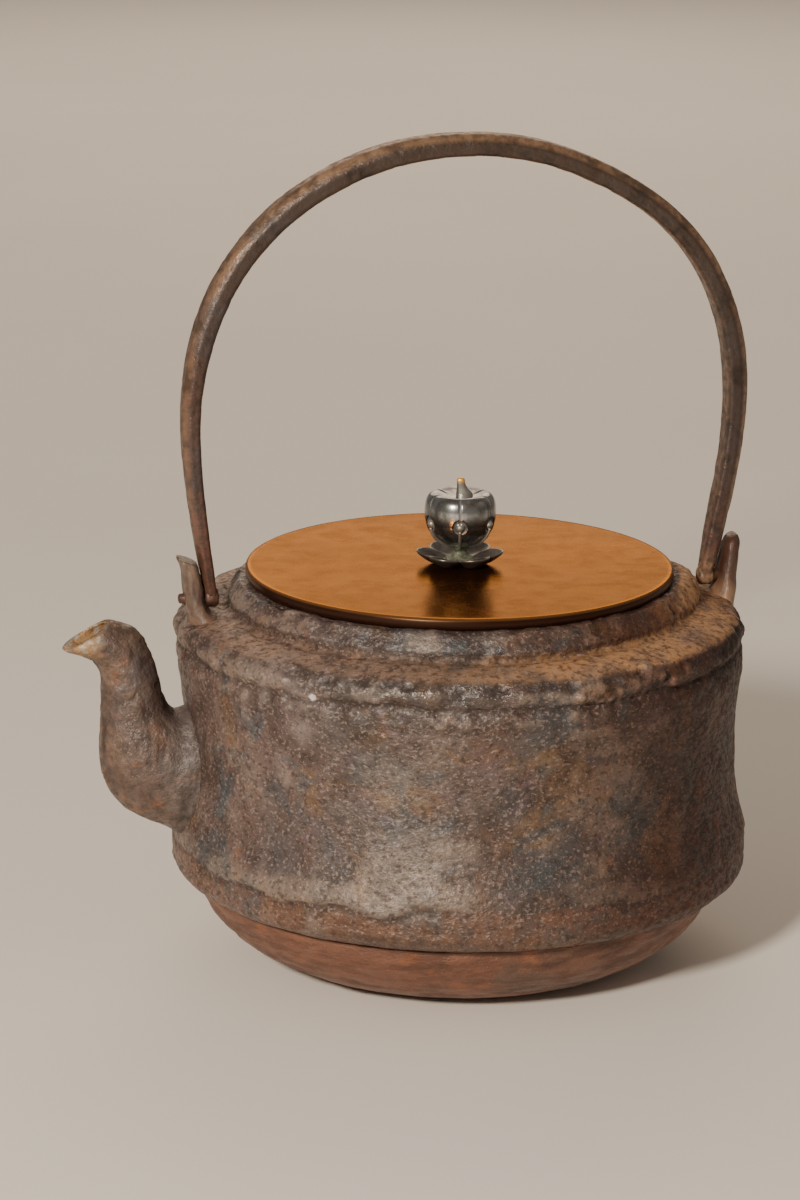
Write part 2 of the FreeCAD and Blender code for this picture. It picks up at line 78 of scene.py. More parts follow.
def rough(points, size, octaves, seed, gain=0.5):
    """Several sizes of lumps together, mostly between -1 and 1."""
    total = np.zeros(len(points))
    for octave in range(octaves):
        total += gain**octave * lumps(points, size / 2**octave, seed + octave)
    return total * 1.2


def spots(points, size, seed):
    """Distance to the nearest of many scattered spots, as a share of their spacing."""
    scaled = points / size
    base = np.floor(scaled).astype(np.int64)
    nearest = np.full(len(points), 9.0)
    for offset in np.ndindex(3, 3, 3):
        cell = base + np.array(offset) - 1
        spot = np.stack([lattice(*cell.T, seed + axis) for axis in range(3)], axis=1)
        nearest = np.minimum(nearest, np.linalg.norm(cell + spot - scaled, axis=1))
    return nearest


def step(low, high, value):
    """0 below low, 1 above high, and smooth between them."""
    t = np.clip((value - low) / (high - low), 0, 1)
    return t * t * (3 - 2 * t)


def band(start, full, leave, end, value):
    """0 up to start, 1 from full to leave, and 0 again from end."""
    return step(start, full, value) * (1 - step(leave, end, value))


def hump(centre, half_width, value):
    """1 at the centre, falling smoothly to 0 a few half widths away."""
    return np.exp(-(((value - centre) / half_width) ** 2))


# ---- mesh building


def through(knots, count):
    """Points at even distances along a smooth line through the knots."""
    knots = np.asarray(knots, float)
    at = np.concatenate([[0], np.cumsum(np.linalg.norm(np.diff(knots, axis=0), axis=1))])
    slopes = np.empty_like(knots)
    slopes[1:-1] = (knots[2:] - knots[:-2]) / (at[2:] - at[:-2])[:, None]
    slopes[0] = (knots[1] - knots[0]) / (at[1] - at[0])
    slopes[-1] = (knots[-1] - knots[-2]) / (at[-1] - at[-2])
    where = np.linspace(0, at[-1], count)
    span = np.clip(np.searchsorted(at, where, side="right") - 1, 0, len(at) - 2)
    long = (at[span + 1] - at[span])[:, None]
    t = (where - at[span])[:, None] / long
    ends = (2 * t**3 - 3 * t**2 + 1) * knots[span] + (3 * t**2 - 2 * t**3) * knots[span + 1]
    bends = (t**3 - 2 * t**2 + t) * slopes[span] + (t**3 - t**2) * slopes[span + 1]
    return ends + bends * long


def piece_from(name, vertices, faces, body, slot, nodes):
    """A mesh piece in metres that rides on a body and stands for CAD nodes."""
    mesh = bpy.data.meshes.new(name)
    mesh.from_pydata((np.asarray(vertices) * MM).tolist(), [], faces)
    mesh.validate()
    mesh.shade_smooth()
    piece = bpy.data.objects.new(name, mesh)
    bpy.context.scene.collection.objects.link(piece)
    if body:
        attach(piece, body)
        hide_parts(*nodes)
    return piece


def quads(rows, cols, loop):
    """Faces between neighbouring rings of a grid that closes across its columns."""
    low = np.arange(rows if loop else rows - 1)[:, None]
    col = np.arange(cols)[None, :]
    high, right = (low + 1) % rows, (col + 1) % cols
    grid = np.stack(
        [low * cols + col, low * cols + right, high * cols + right, high * cols + col], axis=-1
    )
    return grid.reshape(-1, 4).tolist()


def skin(rings, loop=False):
    """Vertices and faces of a closed skin through rings of points."""
    rows, cols = rings.shape[:2]
    faces = quads(rows, cols, loop)
    if not loop:
        faces.append(list(range(cols))[::-1])
        faces.append([(rows - 1) * cols + col for col in range(cols)])
    return rings.reshape(-1, 3), faces


def joined(skins):
    """Several skins as one list of vertices and faces."""
    vertices, faces, count = [], [], 0
    for points, sides in skins:
        vertices.append(points)
        faces += [[index + count for index in side] for side in sides]
        count += len(points)
    return np.concatenate(vertices), faces


def circle(count):
    """Even angles all the way round."""
    return np.arange(count) * 2 * math.pi / count


def polar(radius, angle, height):
    """Points at a radius, an angle about Z and a height."""
    return np.stack([radius * np.cos(angle), radius * np.sin(angle), height + 0 * angle], axis=-1)


def headings(cols):
    """Even headings about Z, in degrees from the side that faces the camera."""
    return np.arange(cols) * 360.0 / cols - 180.0


def around(profile, turn):
    """Rings of points for a profile of radii and heights, at headings from the front."""
    angle = np.radians(turn + FRONT_HEADING)[None, :]
    return polar(profile[:, :1], angle, profile[:, 1:2])


def outward(profile):
    """Unit directions that point out of a closed profile that is drawn anticlockwise."""
    along = np.roll(profile, -1, axis=0) - np.roll(profile, 1, axis=0)
    normal = np.stack([along[:, 1], -along[:, 0]], axis=1)
    return normal / np.linalg.norm(normal, axis=1)[:, None]


def carve(piece, cutter):
    """Takes the cutter's shape out of the piece, and removes the cutter."""
    modifier = piece.modifiers.new("carve", "BOOLEAN")
    modifier.operation = "DIFFERENCE"
    modifier.solver = "MANIFOLD"
    modifier.object = cutter
    result = piece.evaluated_get(bpy.context.evaluated_depsgraph_get())
    mesh = bpy.data.meshes.new_from_object(result)
    piece.modifiers.clear()
    piece.data = mesh
    bpy.data.objects.remove(cutter)


def points_of(piece):
    """A piece's vertices in millimetres."""
    flat = np.empty(len(piece.data.vertices) * 3, np.float32)
    piece.data.vertices.foreach_get("co", flat)
    return flat.reshape(-1, 3).astype(float) / MM


def paint(piece, **masks):
    """Stores a number for each vertex, for the material to read."""
    for name, values in masks.items():
        attribute = piece.data.attributes.new(name, "FLOAT", "POINT")
        attribute.data.foreach_set("value", np.asarray(values, np.float32))


# ---- body


# Marks on the front of the casting: turn in degrees, height, half width and half height.
NODULES = [
    (40.3, 103.4, 1.7, 1.5), (37.2, 100.2, 1.5, 1.9), (43.4, 101.4, 1.3, 1.2),
    (33.0, 98.9, 1.2, 1.1), (28.5, 102.2, 1.4, 1.1), (46.5, 98.9, 1.2, 1.3),
    (24.0, 99.6, 1.1, 1.0), (51.0, 101.8, 1.2, 1.0),
]
SMEARS = [
    (-40.0, 102.2, 5.6, 2.6), (-41.5, 95.8, 2.4, 4.2), (-34.5, 97.8, 2.6, 4.2),
    (-30.0, 93.7, 1.4, 9.0), (-31.8, 86.4, 3.4, 3.6), (-36.5, 71.0, 1.8, 3.2),
    (-46.0, 88.0, 2.2, 5.0), (64.0, 84.0, 4.0, 6.0),
]
BLUED = [
    (-40.0, 50.0, 8.0, 7.0), (-25.0, 57.0, 5.0, 7.0), (21.0, 47.0, 9.0, 7.0),
    (8.0, 70.0, 13.0, 5.0), (-8.0, 62.0, 9.0, 8.0), (-19.0, 76.0, 7.0, 4.0),
    (38.0, 62.0, 8.0, 9.0), (-56.0, 60.0, 4.0, 8.0),
]
WALL_RADIUS = 82.5  # turns a mark's heading into millimetres along the wall
WHITE_DOT = (-29.3, 96.9, 0.85, 1.2)  # heading, height, half width in degrees, half height
FRONT_LUMPS_TURN = -2  # the middle of the polished lumps on the front of the ridge
REAR_LUG_TURN, SPOUT_LUG_TURN = 98, -72
REAR_SADDLE = 2.5  # how much iron is heaped round the rear lug

# Heights where a band of the body starts, is full, starts to leave and ends.
RIDGE_BAND = (90.0, 92.5, 102.2, 104.4)
LEDGE_BAND = (103.0, 104.6, 107.2, 108.4)
COLLAR_START = (106.8, 108.0)
LOWER_GROOVE, RAGGED_GROOVE, BRINK, COLLAR_FOOT, HEM = 90.4, 96.2, 102.9, 107.3, 38.0


def pits(points, seed):
    """Where the skin is eaten away: 0 on sound skin, 1 in a pit."""
    return step(0.30, 0.75, rough(points, 3.6, 3, seed))


def marked(marks, turn, height):
    """How much of a mark covers each point: 1 in its middle, 0 well outside it."""
    cover = np.zeros(len(turn))
    for mark_turn, mark_height, half_width, half_height in marks:
        across = np.radians(turn - mark_turn) * WALL_RADIUS / half_width
        along = (height - mark_height) / half_height
        cover = np.maximum(cover, np.exp(-((across**2 + along**2) ** 1.5) * 0.7))
    return cover


def cast_skin(points, turn):
    """How far the cast skin is raised at points on the body, and masks for the material, some of
    them for painted light and shade.
    """
    height = points[:, 2]
    radius = np.hypot(points[:, 0], points[:, 1])
    streaked = points * (0.72, 0.72, 1.0)
    wide = lumps(points, 26, 1)
    medium = rough(points, 8, 3, 5)
    fine = rough(streaked, 2.5, 2, 11)
    eaten = pits(streaked, 21) * step(-0.35, 0.35, lumps(points, 11, 25))
    ridge = band(*RIDGE_BAND, height)
    ledge = band(*LEDGE_BAND, height) * step(66, 68, radius)
    collar = step(*COLLAR_START, height)
    wall = 1 - np.maximum(np.maximum(ridge, ledge), collar)
    dusty = band(18, 62, 150, 175, turn)

    ragged = hump(RAGGED_GROOVE + 0.8 * lumps(points, 9, 31), 0.7, height)
    lower_groove = hump(LOWER_GROOVE + 0.9 * lumps(points, 12, 33), 0.9, height)
    lift = wide * 0.30 * wall
    calm = 1 - 0.7 * hump(95, 42, turn)
    lift += medium * (0.20 + 0.34 * ridge * calm - 0.10 * ledge + 0.16 * collar)
    lift += fine * (0.09 + 0.20 * ridge - 0.06 * ledge * dusty + 0.12 * collar)
    lift -= eaten * (0.15 * wall + 0.55 * ridge + 0.42 * collar + 0.40 * ledge * (1 - 0.7 * dusty))
    lift -= 0.95 * ragged * step(-0.7, 0.1, lumps(points, 18, 35))
    foot_line = COLLAR_FOOT + 0.6 * lumps(points, 7, 39) + 0.4 * lumps(points, 2.6, 40)
    foot_groove = hump(foot_line, 1.0, height) * band(66, 67, 70.4, 71.6, radius)
    foot_groove = foot_groove * (1 - 0.6 * dusty)
    lift -= 1.3 * foot_groove
    swelling = hump(99.8, 2.3, height) * step(-0.5, 0.6, lumps(points, 7, 43))
    lift += 0.75 * swelling * (1 - hump(REAR_LUG_TURN, 45, turn))
    front_lumps = hump(FRONT_LUMPS_TURN, 15, turn) * hump(100.0, 4.4, height)
    lift += 0.8 * front_lumps * step(-0.4, 0.5, lumps(points, 5, 45))
    lift -= 0.30 * lower_groove

    chips = 1 - step(0.30, 0.62, spots(points, 5.2, 37))
    brink = hump(BRINK, 1.5, height)
    lift -= brink * chips * 0.85 * (1 - 0.4 * dusty)
    knobbly = hump(34, 15, turn) * band(92, 97, 103.4, 104.4, height)
    grains = 1 - step(0.16, 0.44, spots(points, 4.4, 41))
    lift += knobbly * (grains * 0.8 + medium * 0.3)
    nodules = marked(NODULES, turn, height)
    lift += 1.1 * nodules
    smears = marked(SMEARS, turn, height) * step(-0.75, 0.1, lumps(points, 3.5, 53))
    lift += 0.18 * smears

    crust = step(0.08, 0.42, rough(points * (1.0, 1.0, 0.6), 9, 2, 51))
    scab = crust * np.clip(
        0.4 * hump(-35, 12, turn) * step(64, 74, height) * (1 - ledge) * (1 - collar)
        + 0.8 * hump(150, 25, turn) * hump(78, 16, height)
        + 0.6 * hump(70, 16, turn) * hump(88, 12, height),
        0, 1,
    )
    lift += scab * 0.22

    hem = HEM + 2.2 * lumps(points, 13, 61) + 1.0 * lumps(points, 5, 63)
    worn = np.clip(0.30 + 0.70 * hump(-24, 22, turn) + 0.5 * lumps(points, 26, 65), 0.0, 1)
    overhang = band(hem - 0.5, hem + 0.6, hem + 1.2, hem + 9, height)
    lift += overhang * worn * 1.05
    under_hem = hump(hem - 1.1, 0.9, height) * worn

    saddle = band(64.0, 66.5, 69.6, 72.0, radius) * step(103.0, 105.5, height)
    rear_saddle = saddle * hump(REAR_LUG_TURN, 15, turn)
    lift += REAR_SADDLE * rear_saddle + 0.8 * saddle * hump(SPOUT_LUG_TURN, 8, turn)
    lift -= 0.7 * ridge * hump(95, 40, turn)
    settled = step(62.5, 65.0, radius) * step(102.6, 104.0, height) * hump(92, 34, turn)

    seat = band(23.0, 25.0, 26.5, 29, height)
    lift *= 1 - 0.45 * seat
    masks = {
        # relief also drives painted light on the raised skin and painted shade in the low skin
        "relief": np.clip(0.5 + (lift - REAR_SADDLE * rear_saddle) / 1.8, 0, 1),
        "dot": hump(WHITE_DOT[0], WHITE_DOT[2], turn) * hump(WHITE_DOT[1], WHITE_DOT[3], height),
        "gloss": np.clip(
            1.5 * hump(FRONT_LUMPS_TURN, 13, turn) * hump(100.3, 5.0, height)
            + hump(-12, 18, turn) * hump(28, 3.2, height),
            0, 1,
        ),
        "scab": np.maximum(scab, smears),
        "blued": marked(BLUED, turn, height) * step(-0.9, 0.5, lumps(points, 6, 55)),
        # painted shade in pits, grooves, the chipped brink, under the overhanging hem and at the
        # collar foot
        "hollow": np.clip(
            0.6 * eaten * (1 - ledge) + ragged + 1.3 * under_hem
            + 0.7 * brink * chips + 1.6 * foot_groove,
            0, 1,
        ),
        "ledge": np.clip(ledge + rear_saddle + settled, 0, 1),
        "skirt": 1 - step(hem - 2.0, hem + 0.5, height),
        "knobs": np.maximum(0.5 * knobbly * grains, nodules),
        # painted shade: the right side, away from the key light, is laid darker in the material
        "right": band(4, 58, 120, 175, turn),
        "left": band(7, 43, 120, 175, -turn),
        # tan dust on the ledge, partly a painted warm reflection, most orange towards the front
        # and right
        "dusty": band(-22, 29, 120, 175, turn),
    }
    return lift, masks


BODY_OUTSIDE = [
    (74.6, 24.6), (75.6, 24.5), (77.4, 24.4), (78.6, 24.9), (81.2, 26.0), (83.4, 27.9),
    (84.5, 30.0), (84.35, 31.8), (84.6, 34.0), (84.5, 36.5), (84.0, 40.0), (83.0, 45.0),
    (81.9, 50.0), (81.1, 56.5), (80.9, 63.0), (80.95, 70.0), (81.3, 76.0), (81.9, 82.0),
    (82.7, 88.0), (83.1, 92.0), (82.8, 94.6), (82.6, 96.4), (83.0, 98.0), (83.1, 100.0),
    (82.6, 102.0), (81.2, 103.5), (79.4, 104.5), (76.8, 105.2), (72.0, 106.2), (69.9, 106.7),
    (69.2, 106.8), (68.6, 107.6), (67.6, 109.6), (65.9, 112.0), (65.0, 113.3), (64.2, 113.8),
    (61.0, 113.8),
]
BODY_INSIDE = [
    (61.0, 113.8), (60.3, 113.2), (60.0, 112.0), (60.1, 107.0), (61.4, 105.0), (70.0, 102.5),
    (75.6, 100.9), (78.3, 98.0), (79.3, 92.0), (77.8, 77.0), (77.4, 63.0), (78.5, 50.0),
    (80.5, 38.0), (80.6, 31.5), (79.5, 29.2), (76.5, 28.2), (74.8, 27.0), (74.6, 24.6),
]
# Heights, and the radius of the middle of the wall at each.
WALL_MIDDLE = (
    (27, 31, 45, 63, 80, 92, 99, 104, 113),
    (80.5, 82.8, 81.0, 79.2, 79.8, 81.3, 81.0, 64.0, 62.5),
)
OUTER_ROWS, INNER_ROWS, BODY_COLUMNS = 128, 26, 600
FULLER_SIDE = 0.5  # the casting is this much fuller on the rear lug's side
INSIDE_RELIEF = 0.35  # how much of the relief shows inside

body_profile = np.concatenate([
    through(BODY_OUTSIDE, OUTER_ROWS), through(BODY_INSIDE, INNER_ROWS + 1)[1:-1]
])
body_turn = headings(BODY_COLUMNS)
body_rings = around(body_profile, body_turn)
body_out = around(outward(body_profile), body_turn)
body_lift, _ = cast_skin(body_rings.reshape(-1, 3), np.tile(body_turn, len(body_profile)))
fuller = FULLER_SIDE * np.sin(np.radians(body_turn))[None, :]
relief_share = np.ones((len(body_profile), 1))
relief_share[OUTER_ROWS:] = INSIDE_RELIEF
relief_share[:3] = 0.0
lift_grid = (body_lift.reshape(len(body_profile), -1) + fuller) * relief_share
body_rings = body_rings + body_out * lift_grid[:, :, None]
body = piece_from(
    "body_casting", *skin(body_rings, loop=True), "kettle", "cast_body", ["body_shell"]
)

# ---- spout

# Lower and upper outline points of the spout in the XZ plane, and its half width along Y,
# from inside the body's wall to the oblique mouth.
SPOUT_LINES = [
    (-74.0, 39.0, -74.0, 78.5, 14.5), (-80.5, 38.8, -80.5, 78.5, 14.4),
    (-84.0, 40.2, -83.6, 77.4, 13.9), (-88.6, 43.0, -85.6, 78.4, 13.2),
    (-95.0, 45.9, -87.0, 80.4, 12.4), (-101.0, 50.6, -88.2, 83.6, 11.6),
    (-105.0, 57.0, -89.2, 87.4, 10.7), (-106.4, 64.0, -90.0, 90.6, 9.8),
    (-106.3, 71.0, -90.9, 94.0, 8.9), (-105.9, 78.0, -92.0, 97.0, 8.3),
    (-106.0, 84.6, -93.7, 100.4, 7.9), (-106.6, 89.2, -96.0, 102.7, 7.6),
    (-108.9, 93.0, -98.9, 103.9, 7.3), (-112.4, 94.9, -101.6, 104.8, 7.0),
    (-117.2, 96.5, -103.2, 105.0, 6.4),
]
SPOUT_ROWS, SPOUT_COLUMNS = 150, 96


def spout_rings(root_wall, mouth_wall):
    """The spout's rings, made smaller by a wall that changes from the root to the mouth."""
    table = through(SPOUT_LINES, SPOUT_ROWS)
    low, high = table[:, :2], table[:, 2:4]
    middle, half = (low + high) / 2, (high - low) / 2
    tall = np.linalg.norm(half, axis=1)
    wall = np.linspace(root_wall, mouth_wall, SPOUT_ROWS)
    along = half / tall[:, None]
    angle = circle(SPOUT_COLUMNS)
    up = np.cos(angle)[None, :] * (tall - wall)[:, None]
    side = np.sin(angle)[None, :] * (table[:, 4] - wall)[:, None]
    return np.stack(
        [middle[:, :1] + along[:, :1] * up, side, middle[:, 1:] + along[:, 1:] * up], axis=-1
    )


def ring_normals(rings):
    """Directions that point out of rings that run round a tube."""
    ahead = np.gradient(rings, axis=0)
    across = np.roll(rings, -1, axis=1) - np.roll(rings, 1, axis=1)
    normal = np.cross(across, ahead)
    normal /= np.linalg.norm(normal, axis=2)[:, :, None] + 1e-9
    middle = rings.mean(axis=1, keepdims=True)
    facing = np.sign((normal * (rings - middle)).sum(axis=2, keepdims=True))
    return normal * facing


def raised(rings, lift):
    """Rings moved outwards by a lift for each point."""
    return rings + ring_normals(rings) * lift.reshape(rings.shape[:2])[:, :, None]


spout_outer = spout_rings(0, 0.15)
spout_points = spout_outer.reshape(-1, 3)
tip = step(-104.5, -113.5, spout_points[:, 0]) * step(92, 97, spout_points[:, 2])
spout_lift = rough(spout_points, 9, 3, 71) * 0.28 + rough(spout_points, 2.6, 2, 75) * 0.13
spout_lift -= pits(spout_points, 79) * 0.30
spout_lift *= 1 - 0.6 * tip
lip_round = -0.55 * np.clip(1 - np.arange(SPOUT_ROWS)[::-1] / 3.0, 0, 1) ** 2
spout_outer = raised(spout_outer, spout_lift.reshape(SPOUT_ROWS, -1) + lip_round[:, None])
spout_inner = spout_rings(2.8, 1.7)[::-3]
spout = piece_from(
    "spout_casting", *skin(np.concatenate([spout_outer, spout_inner]), loop=True),
    "kettle", "cast_spout", ["spout"],
)
carve(body, piece_from("channel_cutter", *skin(spout_rings(2.7, 1.6)[:60]), None, None, ()))

body_points = points_of(body)
found_turn = np.degrees(np.arctan2(body_points[:, 1], body_points[:, 0])) - FRONT_HEADING
found_turn = (found_turn + 180) % 360 - 180
_, body_masks = cast_skin(body_points, found_turn)
wall_middle = np.interp(body_points[:, 2], *WALL_MIDDLE)
inside_share = step(0.4, 1.6, wall_middle - np.hypot(body_points[:, 0], body_points[:, 1]))
paint(body, inside=inside_share, **body_masks)
body.data.shade_smooth()

spout_points = points_of(spout)
spout_tip = step(-104.0, -111.5, spout_points[:, 0]) * step(92, 97, spout_points[:, 2])
spout_inside = (np.arange(len(spout_points)) >= SPOUT_ROWS * SPOUT_COLUMNS).astype(float)
paint(
    spout,
    neck=hump(84, 14, spout_points[:, 2]) * step(-102, -94, spout_points[:, 0]),
    tip=np.maximum(spout_tip, spout_inside * step(-98.0, -103.0, spout_points[:, 0])),
    root=step(-93.0, -84.0, spout_points[:, 0]) * step(34, 44, spout_points[:, 2]),
    hollow=pits(spout_points, 79),
)

# ---- bottom pan

PAN_RADIUS, PAN_RISE, FOOT_RADIUS, PAN_FULLNESS = 76.3, 23.8, 42.0, 1.72
PAN_STREAKS = (0.35, 0.35, 1.0)  # the pan's roughness is drawn out sideways
sweep = np.linspace(0, math.pi / 2, 46)
pan_side = np.stack([
    FOOT_RADIUS + (PAN_RADIUS - FOOT_RADIUS) * np.sin(sweep) ** (2 / PAN_FULLNESS),
    PAN_RISE - PAN_RISE * np.cos(sweep) ** (2 / PAN_FULLNESS),
], axis=1)
PAN_TOP = [(76.0, 24.05), (74.6, 24.1), (74.45, 24.5), (74.4, 29.3), (74.0, 29.7), (73.2, 29.7)]
PAN_INSIDE = [
    (73.2, 29.7), (72.8, 29.2), (72.6, 23.8), (70.0, 17.0), (64.0, 11.0), (55.0, 6.6),
    (46.0, 4.4), (38.0, 3.6), (0.4, 3.6),
]
pan_base = np.stack([np.linspace(0.4, 41.0, 10), np.zeros(10)], axis=1)
pan_profile = np.concatenate([pan_base, pan_side, PAN_TOP, through(PAN_INSIDE, 40)[1:]])
pan_turn = headings(480)
pan_rings = around(pan_profile, pan_turn)
pan_points = pan_rings.reshape(-1, 3)
flowing = pan_points * PAN_STREAKS
pan_lift = rough(flowing, 2.6, 3, 81) * 0.16 + lumps(pan_points, 24, 85) * 0.12
pan_lift -= step(0.35, 0.80, rough(flowing, 3.6, 3, 87)) * 0.22
pan_lift *= band(1.0, 5.0, 22.6, 23.8, pan_points[:, 2])
pan_out = around(outward(pan_profile), pan_turn).reshape(-1, 3)
pan_rings = (pan_points + pan_out * pan_lift[:, None]).reshape(pan_rings.shape)
pan = piece_from("pan_casting", *skin(pan_rings), "kettle", "cast_pan", ["bottom_pan"])
pan_points = points_of(pan)
paint(pan, hollow=step(0.35, 0.80, rough(pan_points * PAN_STREAKS, 3.6, 3, 87)))

# ---- lugs

# Each ring of a lug: height, distance of its centre from the Z axis, thickness, width along Y,
# how far its outer side is higher than its inner side, and how square it is.
SPOUT_SIDE_LUG = [
    (100.6, 74.3, 12.0, 19.6, 0.0, 2.0), (102.4, 74.7, 11.2, 18.0, 0.0, 2.1),
    (104.4, 75.3, 10.0, 15.6, 0.0, 2.2), (105.8, 76.2, 8.2, 13.6, 0.0, 2.3),
    (107.2, 77.6, 6.6, 12.0, 0.0, 2.4), (110.5, 78.6, 5.6, 10.8, 0.1, 2.5),
    (114.2, 79.1, 5.4, 10.2, 0.2, 2.7), (117.4, 79.5, 5.2, 9.8, 0.4, 3.0),
    (119.6, 80.0, 5.5, 9.8, 0.6, 3.4), (121.0, 80.5, 6.0, 10.2, 0.9, 3.6),
    (121.7, 80.6, 6.0, 10.0, 1.0, 3.6), (122.0, 80.6, 5.0, 9.0, 1.0, 3.2),
]
REAR_LUG = [
    (100.6, 77.6, 10.4, 19.6, 0.0, 2.0), (102.4, 78.2, 9.0, 17.4, 0.0, 2.1),
    (104.6, 79.3, 7.4, 14.6, 0.0, 2.2), (107.6, 80.3, 6.1, 12.2, 0.0, 2.3),
    (110.8, 80.6, 5.7, 11.0, 0.0, 2.4), (114.2, 81.1, 5.5, 10.4, 0.0, 2.4),
    (117.4, 81.6, 5.2, 9.8, 0.2, 2.4), (120.0, 82.0, 4.8, 8.8, 0.3, 2.4),
    (121.6, 82.2, 4.0, 7.2, 0.4, 2.3), (122.5, 82.3, 2.6, 4.6, 0.3, 2.2),
]
PIVOT_HEIGHT, HOLE_RADIUS, HOOK_RADIUS = 110.5, 2.12, 2.0


def rounded(angle, power):
    """Across and up shares of a rounded square at those angles."""
    across, up = np.cos(angle), np.sin(angle)
    size = (np.abs(across) ** power + np.abs(up) ** power) ** (-1 / power)
    return across * size, up * size


def lug_rings(stations, side):
    """Rings of a lug on the spout's side (-1) or the rear (+1)."""
    table = through(stations, 46)
    rings = []
    for height, centre, thick, wide, slant, power in table:
        across, up = rounded(circle(64), power)
        x = side * (centre + across * thick / 2)
        z = height + slant * across
        rings.append(np.stack([x, up * wide / 2, z + 0 * x], axis=1))
    return np.array(rings)


def pivot_bar(side, profile, wobble):
    """A round bar along the pivot's axis, from pairs of distance out and radius."""
    angle = circle(40)
    rings = []
    for out, radius in profile:
        reach = radius * (1 + wobble * np.sin(3 * angle + out))
        reach = np.minimum(reach, HOOK_RADIUS) if radius <= HOOK_RADIUS else reach
        along, height = side * out + 0 * angle, PIVOT_HEIGHT + reach * np.sin(angle)
        rings.append(np.stack([along, reach * np.cos(angle), height], axis=1))
    return skin(np.array(rings))


def lug(name, stations, side, seed, node):
    """A lug with its pivot hole, on the spout's side (-1) or the rear (+1)."""
    rings = lug_rings(stations, side)
    points = rings.reshape(-1, 3)
    rings = raised(rings, rough(points * (1, 1, 0.6), 3.6, 3, seed) * 0.24)
    piece = piece_from(name, *skin(rings), "kettle", "cast_lug", [node])
    hole = pivot_bar(side, [(70, HOLE_RADIUS), (90, HOLE_RADIUS)], 0)
    carve(piece, piece_from("hole_cutter", *hole, None, None, ()))
    piece.data.shade_smooth()
    piece.data.set_sharp_from_angle(angle=math.radians(50))
    points = points_of(piece)
    paint(
        piece,
        crown=step(117.5, 121.5, points[:, 2]),
        foot=1 - step(103.0, 109.0 + 4.0 * (side > 0), points[:, 2]),
        rear=step(0, 1, points[:, 0]),
        hollow=step(0.1, 0.6, rough(points * (1, 1, 0.5), 3.0, 2, seed + 5)),
    )
    return piece


left_lug = lug("spout_side_lug_casting", SPOUT_SIDE_LUG, -1, 91, "spout_side_lug")
right_lug = lug("rear_lug_casting", REAR_LUG, 1, 101, "rear_lug")

# ---- bail

# The bail's middle line from the spout side to the rear: x, z, depth of the bar across the arch,
# and its width along Y.
BAIL_LINE = [
    (-73.6, 108.6, 3.4, 4.6), (-73.7, 112.5, 3.8, 5.6), (-74.8, 117.5, 3.8, 6.0),
    (-76.1, 125.5, 4.2, 6.8), (-78.0, 139.0, 4.8, 7.6), (-79.6, 155.0, 5.2, 8.3),
    (-79.4, 171.0, 5.5, 8.8), (-76.4, 186.6, 6.4, 9.1), (-69.3, 203.6, 6.7, 9.3),
    (-55.6, 220.5, 6.9, 9.4), (-37.7, 232.5, 6.9, 9.6), (-18.6, 239.2, 6.7, 9.8),
    (1.5, 241.0, 6.4, 9.8), (21.5, 238.6, 6.4, 9.7), (39.9, 231.5, 6.4, 9.5),
    (57.0, 221.2, 6.4, 9.4), (69.8, 207.9, 6.4, 9.3), (78.4, 190.5, 6.4, 9.2),
    (82.0, 173.0, 6.4, 9.1), (81.9, 156.0, 5.8, 8.8), (79.9, 140.0, 5.5, 8.4),
    (77.3, 126.5, 5.1, 7.8), (75.6, 118.0, 4.7, 7.2), (74.6, 112.5, 4.3, 6.4),
    (74.3, 108.4, 3.8, 5.2),
]
# The bar's section as shares of half its depth (+1 is outside) and half its width.
BAIL_SECTION = [
    (1.0, 0.0), (1.0, 0.30), (0.97, 0.52), (0.74, 0.74), (0.42, 0.93), (0.18, 1.0),
    (-0.30, 1.0), (-0.66, 0.99), (-0.90, 0.88), (-1.0, 0.66), (-1.0, 0.30),
]


def smoothed(table, reach):
    """Rows with their bends eased over that many neighbours, the two ends kept."""
    before = 2 * table[0] - table[reach:0:-1]
    after = 2 * table[-1] - table[-2:-reach - 2:-1]
    padded = np.concatenate([before, table, after])
    share = np.exp(-(np.arange(-reach, reach + 1) / (reach / 2.4)) ** 2)
    share /= share.sum()
    return np.stack([np.convolve(column, share, "valid") for column in padded.T], axis=1)


bail_table = smoothed(through(BAIL_LINE, 420), 24)
half_section = np.array(BAIL_SECTION + [(-1.0, 0.0)])
ring_shares = through(np.concatenate([half_section, half_section[-2::-1] * (1, -1)]), 57)[:-1]
bail_centre = bail_table[:, :2]
bail_ahead = np.gradient(bail_centre, axis=0)
bail_ahead /= np.linalg.norm(bail_ahead, axis=1)[:, None]
bail_outer = np.stack([-bail_ahead[:, 1], bail_ahead[:, 0]], axis=1)
# painted shade on the bar's front and back faces
bail_flank = np.tile(step(0.80, 0.97, np.abs(ring_shares[:, 1])), len(bail_table))
# painted highlight along the bar's outer bevels
bevel = hump(0.66, 0.26, np.abs(ring_shares[:, 1])) * (ring_shares[:, 0] > 0.3)
bail_bevel = np.tile(bevel, len(bail_table))
deep = bail_table[:, 2:3] / 2 * ring_shares[None, :, 0]
bail_rings = np.stack([
    bail_centre[:, :1] + bail_outer[:, :1] * deep,
    bail_table[:, 3:4] / 2 * ring_shares[None, :, 1],
    bail_centre[:, 1:] + bail_outer[:, 1:] * deep,
], axis=-1)
bail_points = bail_rings.reshape(-1, 3)
forged = lumps(bail_points, 16, 111) * 0.04 + rough(bail_points, 3.2, 2, 113) * 0.06
forged -= step(0.30, 0.75, rough(bail_points, 3.4, 3, 117)) * 0.12
bail_rings = raised(bail_rings, forged)


